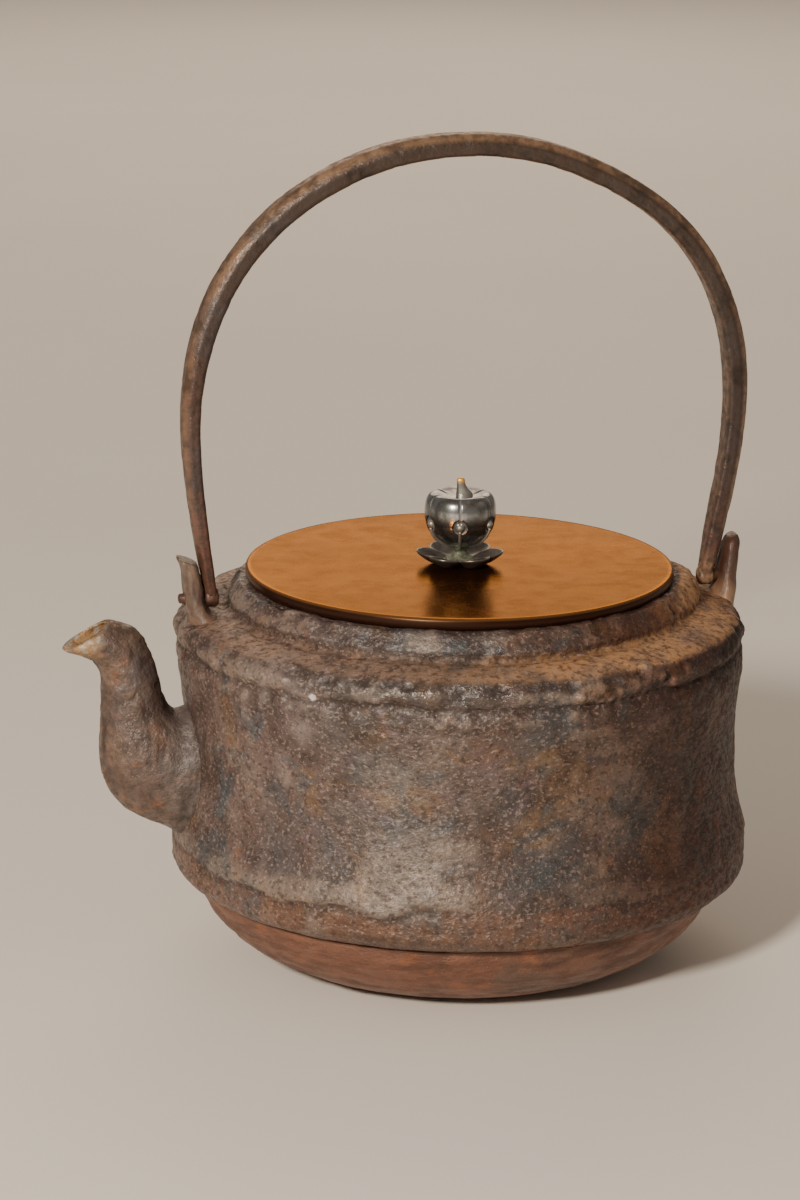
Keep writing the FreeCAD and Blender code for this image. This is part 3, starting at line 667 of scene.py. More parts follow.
def eye_and_hook(side, foot, thick, hook_end):
    """The rounded end of the bail and the round hook that turns in the lug."""
    profile = [
        (foot - thick / 2 - 0.1, 1.0), (foot - thick / 2, 2.2), (foot - thick / 2 + 0.7, 2.8),
        (foot + thick / 2 - 0.7, 2.8), (foot + thick / 2 - 0.05, 2.4),
        (foot + thick / 2, HOOK_RADIUS), (hook_end - 1.8, HOOK_RADIUS), (hook_end - 1.4, 1.5),
        (hook_end - 0.3, 1.4), (hook_end, 0.8),
    ]
    return pivot_bar(side, profile, 0.02)


bail = piece_from(
    "bail_bar",
    *joined([
        skin(bail_rings), eye_and_hook(-1, 73.6, 4.0, 83.2), eye_and_hook(1, 74.4, 4.4, 82.9),
    ]),
    "bail", "forged_iron", ["handle_bail"],
)
bail_points = points_of(bail)
hook_zeros = np.zeros(len(bail_points) - len(bail_flank))
paint(
    bail,
    rust=np.clip(hump(112, 22, bail_points[:, 2]) + 0.5 * hump(-82, 9, bail_points[:, 0]), 0, 1),
    # painted light: the top of the arch is laid lighter
    crown=step(150, 236, bail_points[:, 2]),
    flank=np.concatenate([bail_flank, hook_zeros]),
    dust=(1 - step(110.0, 121.0, bail_points[:, 2])) * (bail_points[:, 0] > 0),
    bevel=np.concatenate([bail_bevel, hook_zeros]),
    hollow=step(0.30, 0.75, rough(bail_points, 3.4, 3, 117)),
)

# ---- lid

LID_TOP = 117.3
LID_PROFILE = [
    (1.9, 113.8), (20.0, 113.8), (45.0, 113.8), (61.4, 113.8), (62.1, 114.0), (62.45, 114.6),
    (62.5, 115.6), (62.45, 116.5), (62.2, 117.0), (61.7, 117.28), (60.6, 117.3),
]
lid_flat = np.stack([np.linspace(59.0, 1.9, 40), np.full(40, LID_TOP)], axis=1)
lid_rings = around(np.concatenate([LID_PROFILE, lid_flat]), headings(360))
lid_points = lid_rings.reshape(-1, 3)
on_top = step(117.0, 117.25, lid_points[:, 2]) * (1 - step(58, 62, np.hypot(*lid_points[:, :2].T)))
hammered = lumps(lid_points, 15, 121) * 0.035 + lumps(lid_points, 34, 123) * 0.05
lid_points[:, 2] += hammered * on_top - 0.03 * on_top
lid = piece_from(
    "lid_plate", *skin(lid_points.reshape(lid_rings.shape), loop=True), "lid", "lid_bronze",
    ["lid_disc"],
)
lid_points = points_of(lid)
lid_radius = np.hypot(lid_points[:, 0], lid_points[:, 1])
paint(
    lid,
    edge=step(61.6, 62.4, lid_radius) * (1 - step(116.9, 117.25, lid_points[:, 2])),
    centre=1 - step(6, 24, lid_radius),
    # painted shade: the lid's near side is laid darker
    tarnish=step(5, -60, lid_points[:, 1] - 0.3 * lid_points[:, 0]),
    # painted highlight along the rounded top edge
    rim=hump(61.7, 0.55, lid_radius) * step(116.8, 117.1, lid_points[:, 2]),
)

# ---- knob

PETAL_COUNT, PETAL_RADIUS, PETAL_SEAT, BORE_RADIUS = 6, 12.6, 3.6, 1.9
PETAL_FOOT, PETAL_RISE, PETAL_CUP, PETAL_THICKNESS = 1.6, 1.9, 1.25, 0.85


def petal_top(share, turn):
    """Radius and height of the petals' upper side, from the seat (0) to the tips (1)."""
    lobe = np.cos(np.radians(turn) * PETAL_COUNT + math.pi)  # +1 along a petal's middle
    wave = np.sqrt(np.clip((1 + lobe) / 2, 0, 1))
    reach = PETAL_RADIUS * (0.80 + 0.20 * wave)
    radius = PETAL_SEAT + (reach - PETAL_SEAT) * share
    cup = -PETAL_CUP * wave * np.sin(math.pi * share**0.8)
    seam = 0.35 * (1 - wave) * np.sin(math.pi * share)
    tip = 0.55 * share**4 * wave
    return radius, LID_TOP + PETAL_FOOT + PETAL_RISE * share**1.6 + cup + seam + tip


petal_turn = headings(300)
petal_angle = np.radians(petal_turn + FRONT_HEADING)
petal_shares = np.linspace(0, 1, 26)
upper = []
for share in petal_shares:
    radius, height = petal_top(share, petal_turn)
    upper.append(polar(radius, petal_angle, height))
upper = np.array(upper)
lower = upper.copy()
lower[:, :, :2] *= (1 - 0.012 * petal_shares)[:, None, None]
lower[:, :, 2] -= PETAL_THICKNESS
rim = (upper[-1] + lower[-1]) / 2 * (1.012, 1.012, 1.0)
seat_top = polar(BORE_RADIUS, petal_angle, LID_TOP + 1.1)
seat_low = polar(BORE_RADIUS, petal_angle, LID_TOP + 0.02)
foot_low = upper[0] * (1.15, 1.15, 0) + (0, 0, LID_TOP + 0.02)
lower[:, :, 2] = np.maximum(lower[:, :, 2], LID_TOP + 0.15)
petal_grid = np.concatenate([[seat_top], upper, [rim], lower[::-1], [foot_low], [seat_low]])
petals = piece_from(
    "petal_dish", *skin(petal_grid, loop=True), "lid", "petal_metal", ["petal_washer"]
)
petal_points = points_of(petals)
petal_radius = np.hypot(petal_points[:, 0], petal_points[:, 1])
paint(petals, rim=step(10.6, 12.2, petal_radius), seat=1 - step(3.6, 5.2, petal_radius))

NECK_PROFILE = [
    (1.85, 118.3), (4.1, 118.35), (4.35, 118.8), (3.9, 119.3), (3.0, 119.8), (2.2, 120.6),
    (2.05, 121.3), (2.5, 121.9), (3.1, 122.4), (3.3, 123.0), (1.85, 123.0),
]
neck_rings = around(through(NECK_PROFILE, 44)[:-1], headings(96))
uneven = 1 + 0.03 * rough(neck_rings.reshape(-1, 3), 1.6, 2, 131)
neck_rings[:, :, :2] *= uneven.reshape(neck_rings.shape[:2])[:, :, None]
neck = piece_from("neck_stem", *skin(neck_rings, loop=True), "lid", "neck_metal", ["knob_neck"])

FRUIT_PROFILE = [
    (1.9, 123.1), (3.2, 123.0), (4.6, 123.35), (6.6, 124.6), (8.4, 126.3), (9.6, 128.3),
    (10.25, 130.8), (10.42, 133.2), (10.3, 135.2), (9.85, 136.9), (9.1, 138.0), (8.1, 138.6),
    (7.2, 138.6), (5.9, 138.2), (4.4, 137.8), (3.0, 137.6), (1.4, 137.5), (0.3, 137.5),
]
LOBES, WAIST_LINE = 6, 130.0
BEAD_HEIGHT, BEAD_REACH, BEAD_GROOVE = 130.3, 9.75, 1.6
fruit_profile = through(FRUIT_PROFILE, 90)
fruit_radius, fruit_height = fruit_profile[:, :1], fruit_profile[:, 1:2]
fruit_turn = headings(360)
toward = np.abs((fruit_turn / 360 * LOBES + 0.5) % 1 - 0.5) * 2  # 0 on a furrow, 1 on a lobe
off_furrow = toward[None, :] * fruit_radius * math.pi / LOBES  # mm from the furrow
upper_part = step(129.0, 134.5, fruit_height) * step(3.0, 5.5, fruit_radius)
lower_part = (1 - step(126.0, 131.0, fruit_height)) * step(3.4, 5.0, fruit_radius)
body_part = step(3.2, 6.0, fruit_radius)
furrow = hump(0, 0.30, off_furrow) * (0.07 * upper_part + 0.19 * body_part)
dip = 0.09 * upper_part + 0.03 * body_part + 0.05 * lower_part
furrow += hump(0, 1.9, off_furrow) * dip
waist_line = WAIST_LINE + 0.25 * np.cos(np.radians(fruit_turn))[None, :]
waist_groove = hump(0, 0.25, fruit_height - waist_line) * 0.07 * body_part
bead_gap = np.hypot(off_furrow, fruit_height - BEAD_HEIGHT)
bead_groove = hump(BEAD_GROOVE, 0.40, bead_gap) * 0.42 * (fruit_radius > 8)
fruit_sink = furrow + bead_groove + waist_groove
fruit_out = around(outward(fruit_profile), fruit_turn)
fruit_rings = around(fruit_profile, fruit_turn) - fruit_out * fruit_sink[:, :, None]
fruit = piece_from("fruit_knob", *skin(fruit_rings), "lid", "knob_metal", ["knob_fruit"])
paint(fruit, furrow=np.clip(fruit_sink, 0, 1).reshape(-1))


def turned_to(points, heading, reach, height):
    """Points drawn facing +X at the origin, moved out to a heading from the front."""
    angle = math.radians(heading + FRONT_HEADING)
    x = (points[..., 0] + reach) * math.cos(angle) - points[..., 1] * math.sin(angle)
    y = (points[..., 0] + reach) * math.sin(angle) + points[..., 1] * math.cos(angle)
    return np.stack([x, y, points[..., 2] + height], axis=-1)


def tube(line, radii):
    """Rings round a line of points, lying across its direction."""
    ahead = np.gradient(line, axis=0)
    ahead /= np.linalg.norm(ahead, axis=1)[:, None]
    side = np.cross(ahead, (0.0, 1.0, 0.0))
    side /= np.linalg.norm(side, axis=1)[:, None]
    other = np.cross(ahead, side)
    across, up = np.cos(circle(16))[None, :, None], np.sin(circle(16))[None, :, None]
    ring = across * side[:, None] + up * other[:, None]
    return line[:, None] + ring * radii[:, None, None]


BEAD_PROFILE = [(0.05, 1.0), (0.55, 0.88), (0.95, 0.6), (1.18, 0.2), (1.25, -0.25), (1.2, -0.9)]
bead_line = through(BEAD_PROFILE, 14)[::-1]
bead_angle = circle(32)
bead_rings = np.stack([
    bead_line[:, 1:2] + 0 * bead_angle[None, :],
    bead_line[:, :1] * np.cos(bead_angle)[None, :],
    bead_line[:, :1] * np.sin(bead_angle)[None, :],
], axis=-1)
stem_profile = through([
    (10.0, 129.2), (9.5, 127.8), (8.7, 126.4), (7.4, 125.15), (5.7, 124.1), (4.1, 123.35),
    (3.3, 123.1),
], 30)
stem_line = np.insert(stem_profile - (BEAD_REACH, BEAD_HEIGHT), 1, 0, axis=1)
stem_rings = tube(stem_line, np.linspace(0.42, 0.55, 30))
bead_skins = [
    skin(turned_to(rings, lobe * 360 / LOBES, BEAD_REACH, BEAD_HEIGHT))
    for lobe in range(LOBES) for rings in (bead_rings, stem_rings)
]
beads = piece_from("bead_row", *joined(bead_skins), "lid", "knob_metal", ["knob_beads"])

# The stalk: a plate with an upright edge and a sloping one, in the plane that faces the camera.
# Each row: height, left edge, right edge and half thickness.
STALK_ROWS = [
    (137.3, -1.35, 3.7, 1.2), (138.5, -1.3, 3.4, 1.15), (139.3, -1.2, 2.6, 1.05),
    (140.3, -1.1, 1.8, 0.9), (141.5, -1.1, 1.3, 0.8), (142.4, -1.1, 1.2, 0.75),
    (142.9, -0.85, 0.95, 0.5),
]
front_angle = math.radians(FRONT_HEADING + 90)
stalk_rings = []
for height, left, right, half in through(STALK_ROWS, 24):
    across, up = rounded(circle(28), 2.6)
    along = (left + right) / 2 + across * (right - left) / 2
    off = up * half
    stalk_rings.append(np.stack([
        along * math.cos(front_angle) - off * math.sin(front_angle),
        along * math.sin(front_angle) + off * math.cos(front_angle),
        height + 0 * along,
    ], axis=1))
stalk = piece_from("stalk_tab", *skin(np.array(stalk_rings)), "lid", "knob_metal", ["knob_stalk"])
paint(stalk, gilt=step(141.2, 142.4, points_of(stalk)[:, 2]))

# ---- materials


class Nodes:
    """A short way to write a material's nodes. Lengths are in millimetres of the object."""

    def __init__(self, name, **fixed):
        self.material = bpy.data.materials.new(name)
        self.material.use_nodes = True
        self.tree = self.material.node_tree
        self.shader = self.tree.nodes["Principled BSDF"]
        for socket, value in fixed.items():
            self.shader.inputs[socket.replace("_", " ")].default_value = value
        self.place = self.new("TexCoord").outputs["Object"]
        self.tone = None

    def new(self, kind):
        return self.tree.nodes.new("ShaderNode" + kind)

    def link(self, source, socket):
        if isinstance(source, bpy.types.NodeSocket):
            self.tree.links.new(source, socket)
        elif isinstance(source, (tuple, list)) and len(source) == 3 and socket.type == "RGBA":
            socket.default_value = (*source, 1)
        else:
            socket.default_value = source

    def stretched(self, scale):
        node = self.new("Mapping")
        self.link(self.place, node.inputs["Vector"])
        node.inputs["Scale"].default_value = scale
        return node.outputs["Vector"]

    def noise(self, size, detail=3.0, roughness=0.55, stretch=None, distortion=0.0):
        node = self.new("TexNoise")
        self.link(self.stretched(stretch) if stretch else self.place, node.inputs["Vector"])
        node.inputs["Scale"].default_value = 1 / (size * MM)
        node.inputs["Detail"].default_value = detail
        node.inputs["Roughness"].default_value = roughness
        node.inputs["Distortion"].default_value = distortion
        return node.outputs["Fac"]

    def cells(self, size, stretch=None):
        node = self.new("TexVoronoi")
        node.feature = "SMOOTH_F1"
        self.link(self.stretched(stretch) if stretch else self.place, node.inputs["Vector"])
        node.inputs["Scale"].default_value = 1 / (size * MM)
        return node.outputs["Distance"]

    def mask(self, name):
        node = self.new("Attribute")
        node.attribute_name = name
        return node.outputs["Fac"]

    def math(self, operation, first, second):
        node = self.new("Math")
        node.operation = operation
        for socket, value in zip(node.inputs, (first, second)):
            self.link(value, socket)
        return node.outputs[0]

    def times(self, first, second):
        return self.math("MULTIPLY", first, second)

    def plus(self, first, second):
        return self.math("ADD", first, second)

    def minus(self, first, second):
        return self.math("SUBTRACT", first, second)

    def part(self, name, share):
        """A mask made weaker."""
        return self.times(self.mask(name), share)

    def ease(self, value, low, high, to_low=0.0, to_high=1.0):
        node = self.new("MapRange")
        node.interpolation_type = "SMOOTHSTEP"
        for socket, number in zip(node.inputs, (value, low, high, to_low, to_high)):
            self.link(number, socket)
        return node.outputs["Result"]

    def mix(self, share, first, second, blend="MIX"):
        node = self.new("Mix")
        node.data_type = "RGBA"
        node.blend_type = blend
        self.link(share, node.inputs["Factor"])
        self.link(first, node.inputs[6])
        self.link(second, node.inputs[7])
        return node.outputs[2]

    def lay(self, over, share=None):
        """Lays a colour over what is there, or makes it the first one."""
        over = colour(over) if isinstance(over, str) else over
        self.tone = over if share is None else self.mix(share, self.tone, over)

    def cover(self, text, name, share):
        """Lays a colour where a mask is, up to that share."""
        self.lay(text, self.part(name, share))

    def scatter(self, text, size, detail, roughness, distortion, low, high, share):
        """Lays patches of a colour where noise rises from low to high, up to that share."""
        noise = self.noise(size, detail, roughness, distortion=distortion)
        self.lay(text, self.ease(noise, low, high, 0, share))

    def pit(self, grain, text, high, share):
        """Lays painted shade in the low parts of a grain, where its bump sinks."""
        self.lay(text, self.ease(grain, 0.36, high, share, 0.0))

    def tint(self, text, share):
        """Multiplies the colour that is there by another."""
        tinted = self.mix(1.0, self.tone, colour(text), "MULTIPLY")
        self.tone = self.mix(share, self.tone, tinted)

    def bump(self, heights):
        """Bumps from pairs of a height and how many millimetres it stands for."""
        base = None
        for height, depth in heights:
            node = self.new("Bump")
            node.inputs["Distance"].default_value = depth * MM
            self.link(height, node.inputs["Height"])
            if base:
                self.link(base, node.inputs["Normal"])
            base = node.outputs["Normal"]
        self.link(base, self.shader.inputs["Normal"])

    def finish(self, roughness, metallic=None):
        self.link(self.tone, self.shader.inputs["Base Color"])
        self.link(roughness, self.shader.inputs["Roughness"])
        if metallic is not None:
            self.link(metallic, self.shader.inputs["Metallic"])
        return self.material


def colour(text):
    """A linear colour from its usual hexadecimal form."""
    values = [int(text[index:index + 2], 16) / 255 for index in (0, 2, 4)]
    return tuple(v / 12.92 if v <= 0.04045 else ((v + 0.055) / 1.055) ** 2.4 for v in values)


def put(material, *objects):
    for item in objects:
        item.data.materials.clear()
        item.data.materials.append(material)


def iron_body():
    n = Nodes("iron_body", IOR=1.56)
    flat = (0.75, 0.75, 1.0)
    large = n.noise(30, 3, 0.5)
    blotch = n.noise(13, 4, 0.6, distortion=0.6)
    grain = n.noise(1.5, 4, 0.62, stretch=flat)
    speck = n.noise(0.85, 3, 0.6, stretch=(0.75, 0.75, 1.0))
    side = n.mask("right")
    left = n.mask("left")
    n.lay("51433e")
    n.lay("474849", n.ease(large, 0.40, 0.62))
    n.lay("64504a", n.times(left, 0.7))
    # Painted shade: the right side of the body is laid much darker here, and tinted darker again
    # further down.
    n.lay("44291e", n.times(side, 0.92))
    n.scatter("70522f", 22, 3, 0.55, 0.8, 0.53, 0.64, 0.6)
    n.lay("6a5040", n.ease(blotch, 0.54, 0.68, 0, 0.5))
    n.scatter("3b4349", 17, 3, 0.5, 1.0, 0.55, 0.66, 0.8)
    n.scatter("7d4b29", 9, 4, 0.6, 0, 0.58, 0.72, 0.6)
    n.cover("38444b", "blued", 0.65)
    n.scatter("5c4a4f", 12, 4, 0.6, 0.6, 0.56, 0.68, 0.55)
    n.scatter("35261f", 19, 4, 0.6, 0.7, 0.50, 0.64, 0.55)
    # Painted light on the raised skin and painted shade in the low skin, read from the relief.
    n.lay("968475", n.ease(n.mask("relief"), 0.45, 0.80, 0, 0.45))
    n.lay("3a2b22", n.ease(n.mask("relief"), 0.22, 0.50, 0.45, 0.0))
    # The ledge is laid tan, partly real dust and partly a painted warm reflection, most orange
    # towards the front and right.
    dusty = n.mask("dusty")
    dust = n.mix(dusty, colour("957763"), colour("b98859"))
    dust = n.mix(n.ease(grain, 0.35, 0.6, 0.4, 0.0), dust, colour("6d4c37"))
    dust_share = n.part("ledge", n.ease(blotch, 0.36, 0.60, 0.25, 0.9))
    n.lay(dust, dust_share)
    rust = n.part("skirt", n.ease(blotch, 0.38, 0.62, 0.1, 0.7))
    n.lay("74503a", rust)
    n.cover("7a6f6c", "scab", 0.55)
    n.cover("968374", "knobs", 0.8)
    # Painted shade in the hollows.
    n.cover("2a1d17", "hollow", 0.55)
    n.pit(grain, "281b15", 0.50, 0.60)
    # Painted highlight on the peaks of the speck bumps.
    n.lay("a49189", n.ease(speck, 0.54, 0.66, 0, 0.42))
    n.cover("3a3432", "gloss", 0.45)
    shaded = n.times(side, n.ease(n.mask("ledge"), 0.0, 1.0, 1.0, 0.0))
    n.tint("b28870", shaded)
    n.lay("d8d2cc", n.ease(n.mask("dot"), 0.3, 0.7))
    lining = n.mix(n.ease(blotch, 0.4, 0.6), colour("3b2418"), colour("6b3a1e"))
    n.lay(lining, n.mask("inside"))
    shine = n.ease(grain, 0.38, 0.62, 0.62, 0.37)
    shine = n.minus(shine, n.part("relief", 0.08))
    shine = n.minus(shine, n.part("gloss", 0.22))
    shine = n.plus(shine, n.times(side, 0.12))
    shine = n.plus(shine, n.part("hollow", 0.15))
    shine = n.plus(shine, n.part("ledge", 0.12))
    shine = n.plus(shine, n.part("inside", 0.3))
    smooth = n.ease(n.part("ledge", dusty), 0.2, 1.0, 1.0, 0.35)
    smooth = n.times(smooth, n.ease(n.mask("scab"), 0.0, 1.0, 1.0, 0.3))
    smooth = n.times(smooth, n.ease(n.mask("gloss"), 0.0, 1.0, 1.0, 0.9))
    coarse = n.times(grain, smooth)
    cells = n.times(n.cells(1.8, flat), smooth)
    n.bump([(coarse, 0.42), (cells, 0.22), (n.times(speck, smooth), 0.32)])
    return n.finish(shine, n.ease(blotch, 0.4, 0.7, 0.05, 0.3))


def iron_spout():
    n = Nodes("iron_spout", IOR=1.6)
    blotch = n.noise(11, 4, 0.6, distortion=0.7)
    grain = n.noise(2.6, 4, 0.65)
    speck = n.noise(0.8, 3, 0.6)
    n.lay("604e45")
    n.lay("765f50", n.ease(blotch, 0.40, 0.60))
    n.scatter("4f4648", 16, 3, 0.5, 0, 0.52, 0.66, 0.7)
    n.scatter("86532f", 7, 4, 0.6, 0, 0.56, 0.7, 0.7)
    n.cover("575353", "root", 0.55)
    n.cover("4e4341", "neck", 0.65)
    n.pit(grain, "35281f", 0.6, 0.5)
    scale = n.ease(n.noise(3.4, 3, 0.6), 0.50, 0.58)
    worn_tip = n.mix(scale, colour("a8835a"), colour("b5a999"))
    n.lay(worn_tip, n.part("tip", n.ease(n.noise(5, 3, 0.6), 0.32, 0.5, 0.35, 1)))
    # Painted shade in the pits.
    n.cover("2c1f19", "hollow", 0.5)
    n.scatter("382822", 15, 4, 0.6, 0.7, 0.50, 0.62, 0.55)
    n.bump([(grain, 0.6), (n.cells(1.5), 0.15), (speck, 0.25)])
    return n.finish(n.ease(grain, 0.38, 0.62, 0.62, 0.38), n.ease(blotch, 0.4, 0.7, 0.05, 0.25))


def iron_pan():
    n = Nodes("iron_pan", IOR=1.55)
    flat = (0.25, 0.25, 1.0)
    blotch = n.noise(15, 4, 0.6, distortion=0.5)
    grain = n.noise(2.4, 4, 0.65, stretch=flat)
    speck = n.noise(0.8, 3, 0.6)
    n.lay("6a4533")
    n.lay("764f3d", n.ease(blotch, 0.40, 0.60))
    n.scatter("8a5535", 8, 3, 0.6, 0, 0.56, 0.7, 0.7)
    n.scatter("57483f", 22, 3, 0.5, 0, 0.55, 0.68, 0.6)
    n.pit(grain, "331f16", 0.55, 0.3)
    # Painted highlight on the peaks of the speck bumps.
    n.lay("97806f", n.ease(speck, 0.60, 0.72, 0, 0.35))
    # Painted shade in the pits.
    n.cover("24150f", "hollow", 0.35)
    n.bump([(grain, 0.75), (speck, 0.35)])
    return n.finish(n.ease(grain, 0.38, 0.62, 0.66, 0.42), n.ease(blotch, 0.4, 0.7, 0.0, 0.15))


def iron_lug():
    n = Nodes("iron_lug", IOR=1.6)
    tall = (1.0, 1.0, 0.35)
    blotch = n.noise(6, 4, 0.6, distortion=0.5)
    grain = n.noise(1.9, 4, 0.6, stretch=tall)
    n.lay("5f4b42")
    n.lay("735f51", n.ease(blotch, 0.40, 0.60))
    n.cover("705e53", "crown", 0.6)
    foot_share = n.part("foot", n.ease(blotch, 0.35, 0.6, 0.2, 0.6))
    n.lay("7a5a44", foot_share)
    # Painted shade: the rear lug is tinted darker.
    n.tint("b08c78", n.mask("rear"))
    # Painted shade in the pits.
    n.cover("3c2a21", "hollow", 0.35)
    n.pit(grain, "33241c", 0.6, 0.45)
    settled = n.part("rear", n.mask("foot"))
    n.lay("94745a", n.times(settled, n.ease(grain, 0.3, 0.55, 0.5, 1.0)))
    n.bump([(grain, 0.3), (n.noise(0.7, 3, 0.6), 0.1)])
    return n.finish(n.ease(grain, 0.35, 0.65, 0.58, 0.40), 0.1)


def iron_bail():
    n = Nodes("iron_bail", IOR=1.6)
    blotch = n.noise(12, 4, 0.6, distortion=0.5)
    grain = n.noise(2.2, 4, 0.65)
    n.lay("55423a")
    n.lay("6f5846", n.ease(blotch, 0.38, 0.62))
    # Painted light: the top of the arch is laid lighter.
    n.cover("8a694b", "crown", 0.5)
    # Painted shade on the bar's front and back faces.
    n.cover("2c211e", "flank", 0.85)
    # Painted highlight along the outer bevels.
    n.cover("8d6f56", "bevel", 0.7)
    n.cover("5e3c31", "rust", n.ease(grain, 0.35, 0.6, 0.35, 0.9))
    n.cover("94745a", "dust", n.ease(grain, 0.3, 0.55, 0.5, 1.0))
    n.scatter("3d3533", 18, 3, 0.5, 0, 0.55, 0.66, 0.7)
    n.pit(grain, "2a1e18", 0.6, 0.5)
    # Painted shade in the pits.
    n.cover("1f1611", "hollow", 0.5)
    n.bump([(grain, 0.28), (n.noise(0.8, 3, 0.6), 0.10)])
    return n.finish(n.ease(grain, 0.35, 0.65, 0.56, 0.36), n.ease(blotch, 0.4, 0.7, 0.15, 0.45))


def copper_lid():
    n = Nodes("copper_lid", IOR=1.5, Specular_Tint=(*colour("f6cba4"), 1))
    blotch = n.noise(24, 4, 0.6, distortion=0.8)
    cloud = n.noise(8, 4, 0.6)
    smear = n.noise(3.5, 4, 0.6, stretch=(0.3, 1.0, 1.0))
    speck = n.noise(0.7, 3, 0.6)
    n.lay("5a3a27")
    n.lay("6a472f", n.ease(blotch, 0.38, 0.62))
    n.lay("5a3622", n.ease(cloud, 0.50, 0.70, 0, 0.4))
    n.lay("886542", n.ease(smear, 0.55, 0.70, 0, 0.22))
    n.lay("54301c", n.ease(speck, 0.62, 0.72, 0, 0.4))
    n.cover("5b3722", "centre", 0.3)
    # Painted shade: the lid's near side is laid darker.
    n.cover("3c2118", "tarnish", 0.8)
    n.lay("220e09", n.mask("edge"))
    # Painted highlight along the lid's rounded top edge, with less roughness there too.
    n.cover("b98048", "rim", 0.7)
    shine = n.ease(cloud, 0.35, 0.70, 0.22, 0.29)
    shine = n.plus(shine, n.times(n.ease(smear, 0.5, 0.7), 0.05))
    shine = n.plus(shine, n.part("edge", 0.12))
    shine = n.minus(shine, n.part("rim", 0.06))
    n.bump([(cloud, 0.05), (speck, 0.012)])
    return n.finish(shine, n.ease(n.mask("edge"), 0.0, 1.0, 0.88, 0.35))


def copper_under():
    n = Nodes("copper_under", IOR=1.6)
    blotch = n.noise(9, 4, 0.6, distortion=0.5)
    grain = n.noise(1.6, 4, 0.6)
    n.lay("5a3322")
    n.lay("7c4a2e", n.ease(blotch, 0.38, 0.62))
    n.scatter("5c6a55", 5, 3, 0.6, 0, 0.56, 0.68, 0.6)
    n.pit(grain, "2a1810", 0.6, 0.4)
    n.bump([(grain, 0.12)])
    return n.finish(n.ease(grain, 0.35, 0.65, 0.6, 0.42), 0.6)


def seam_paste():
    n = Nodes("seam_paste", IOR=1.45)
    grain = n.noise(1.2, 4, 0.6)
    n.lay("120b08")
    n.lay("2c1b13", n.ease(grain, 0.35, 0.65))
    n.bump([(grain, 0.3)])
    return n.finish(n.ease(grain, 0.35, 0.65, 0.95, 0.8), 0.0)


def silver(name, base, dark, warm):
    n = Nodes(name, IOR=1.7)
    cloud = n.noise(4.5, 4, 0.6, distortion=0.5)
    speck = n.noise(0.5, 3, 0.6)
    n.lay(base)
    n.lay(dark, n.ease(cloud, 0.36, 0.66))
    n.scatter(warm, 2.2, 3, 0.6, 0, 0.58, 0.70, 0.5)
    n.lay("2a2725", n.ease(speck, 0.60, 0.72, 0, 0.3))
    return n, cloud, speck


def knob_silver():
    n, cloud, speck = silver("knob_silver", "a3a5a7", "70726f", "8a7058")
    # Painted shade in the knob's furrows and grooves.
    n.lay("2b2b28", n.times(n.ease(n.mask("furrow"), 0.12, 0.5), 0.85))
    n.bump([(cloud, 0.03), (speck, 0.008)])
    groove = n.ease(n.mask("furrow"), 0.12, 0.4)
    shine = n.plus(n.ease(cloud, 0.35, 0.7, 0.20, 0.30), n.times(groove, 0.35))
    return n.finish(shine, n.ease(groove, 0.0, 1.0, 0.95, 0.3))


def bead_silver():
    n, cloud, speck = silver("bead_silver", "a8a196", "8f8c7e", "8a7f6a")
    n.bump([(speck, 0.01)])
    return n.finish(n.ease(cloud, 0.35, 0.7, 0.36, 0.48), 0.7)


def stalk_silver():
    n, cloud, speck = silver("stalk_silver", "8d8a84", "6d6c68", "8a7f6a")
    n.lay("d9a84e", n.mask("gilt"))
    n.bump([(cloud, 0.04), (speck, 0.01)])
    return n.finish(n.ease(cloud, 0.35, 0.7, 0.34, 0.46), 0.8)


def petal_silver():
    n, cloud, speck = silver("petal_silver", "87817b", "5f5c59", "7d6c54")
    n.cover("7d796f", "rim", 0.5)
    n.cover("7c7f70", "seat", 0.7)
    n.bump([(cloud, 0.05), (speck, 0.01)])
    return n.finish(n.ease(cloud, 0.35, 0.7, 0.30, 0.42), 0.85)


def verdigris():
    n = Nodes("verdigris", IOR=1.5)
    cloud = n.noise(1.8, 4, 0.6)
    grain = n.noise(0.5, 3, 0.6)
    n.lay("7f8473")
    n.lay("5c5f50", n.ease(cloud, 0.40, 0.60))
    n.pit(grain, "3a372c", 0.60, 0.5)
    n.bump([(cloud, 0.15), (grain, 0.05)])
    return n.finish(n.ease(grain, 0.35, 0.65, 0.75, 0.5), 0.3)


put(iron_body(), body)
put(iron_spout(), spout)
put(iron_pan(), pan)
put(iron_lug(), left_lug, right_lug)
put(iron_bail(), bail)
put(copper_lid(), lid)
put(copper_under(), nodes["lid_flange"], nodes["under_lid_washer"])
put(seam_paste(), nodes["seam_filler"])
put(knob_silver(), fruit)
put(bead_silver(), beads)
put(stalk_silver(), stalk)
put(petal_silver(), petals)
put(verdigris(), neck, nodes["knob_shank"])

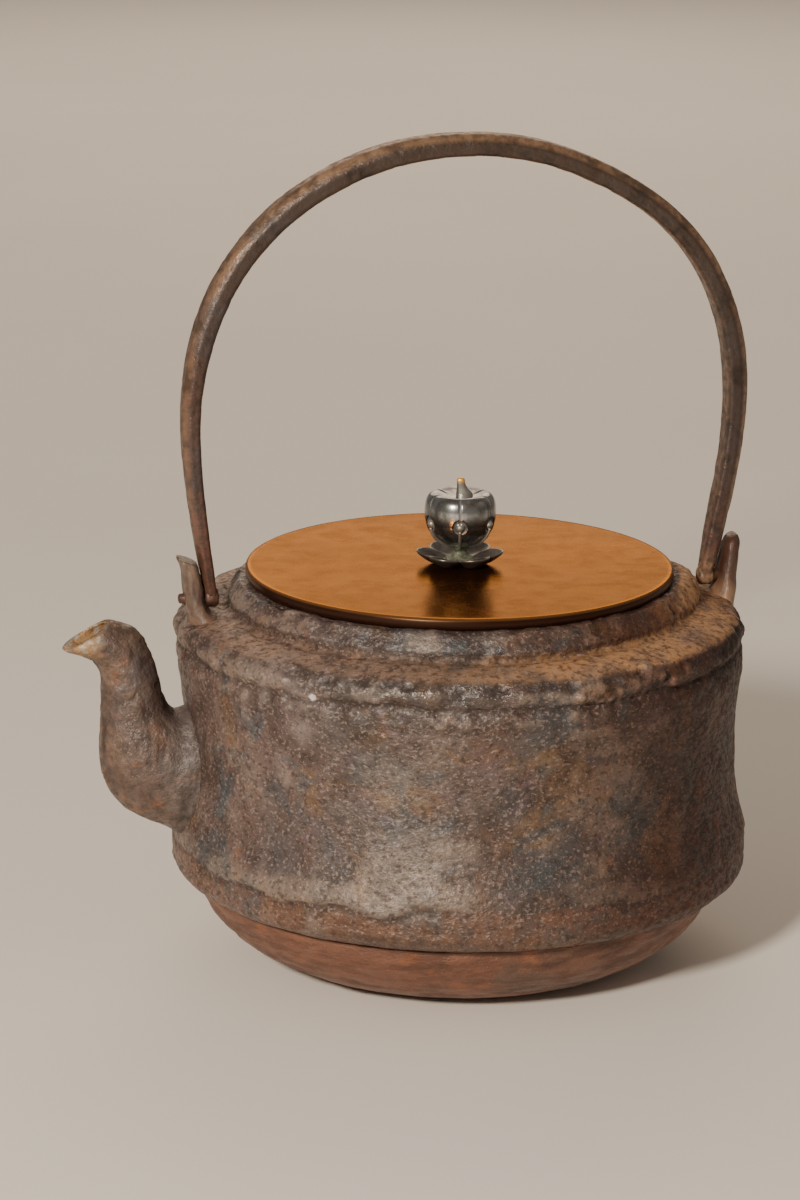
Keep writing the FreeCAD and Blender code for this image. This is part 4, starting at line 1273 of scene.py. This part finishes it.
# ---- floor, light and camera


def pale_floor():
    n = Nodes("pale_floor")
    cloud = n.noise(300, 3, 0.5)
    n.lay("f1ece4")
    n.lay("eee8e0", n.ease(cloud, 0.3, 0.7))
    return n.finish(0.85)


FLOOR_RADIUS, FLOOR_LEVEL, FLOOR_SIDES = 9000, -0.05, 96
floor_points = polar(FLOOR_RADIUS, circle(FLOOR_SIDES), FLOOR_LEVEL)
floor = piece_from("floor", floor_points, [list(range(FLOOR_SIDES))], None, None, ())
put(pale_floor(), floor)


def area_light(name, position, size, watts, tint):
    """A round light in metres that shines on the middle of the kettle."""
    data = bpy.data.lights.new(name, "AREA")
    data.shape = "DISK"
    data.size = size
    data.energy = watts
    data.color = colour(tint)
    item = bpy.data.objects.new(name, data)
    bpy.context.scene.collection.objects.link(item)
    item.location = position
    away = Vector(position) - Vector(LIT_POINT)
    item.rotation_euler = away.to_track_quat("Z", "Y").to_euler()


LIT_POINT = (0, 0, 0.10)
area_light("key", (-0.84, -1.22, 0.80), 0.20, 32, "fff1e0")
area_light("fill", (1.4, -0.7, 0.9), 1.2, 0.8, "ffdcb8")
area_light("back", (0.35, 1.75, 1.10), 1.6, 12, "ffe4c8")

world = bpy.data.worlds.new("studio")
bpy.context.scene.world = world
world.use_nodes = True
background = world.node_tree.nodes["Background"]
background.inputs["Color"].default_value = (*colour("fff2e4"), 1)
background.inputs["Strength"].default_value = 0.25

# The camera's place, and the directions of its right, up and back.
CAMERA_PLACE = (-0.29401, -1.27350, 0.45531)
CAMERA_AXES = (
    (0.97778, -0.20939, 0.01012),
    (0.04451, 0.25452, 0.96604),
    (-0.20486, -0.94413, 0.25818),
)
camera = bpy.data.objects.new("camera", bpy.data.cameras.new("camera"))
camera.data.lens = 138.75
camera.data.sensor_width = 36.0
camera.data.clip_end = 30
camera.matrix_world = (
    Matrix.Translation(CAMERA_PLACE) @ Matrix(CAMERA_AXES).transposed().to_4x4()
)
bpy.context.scene.collection.objects.link(camera)
bpy.context.scene.camera = camera
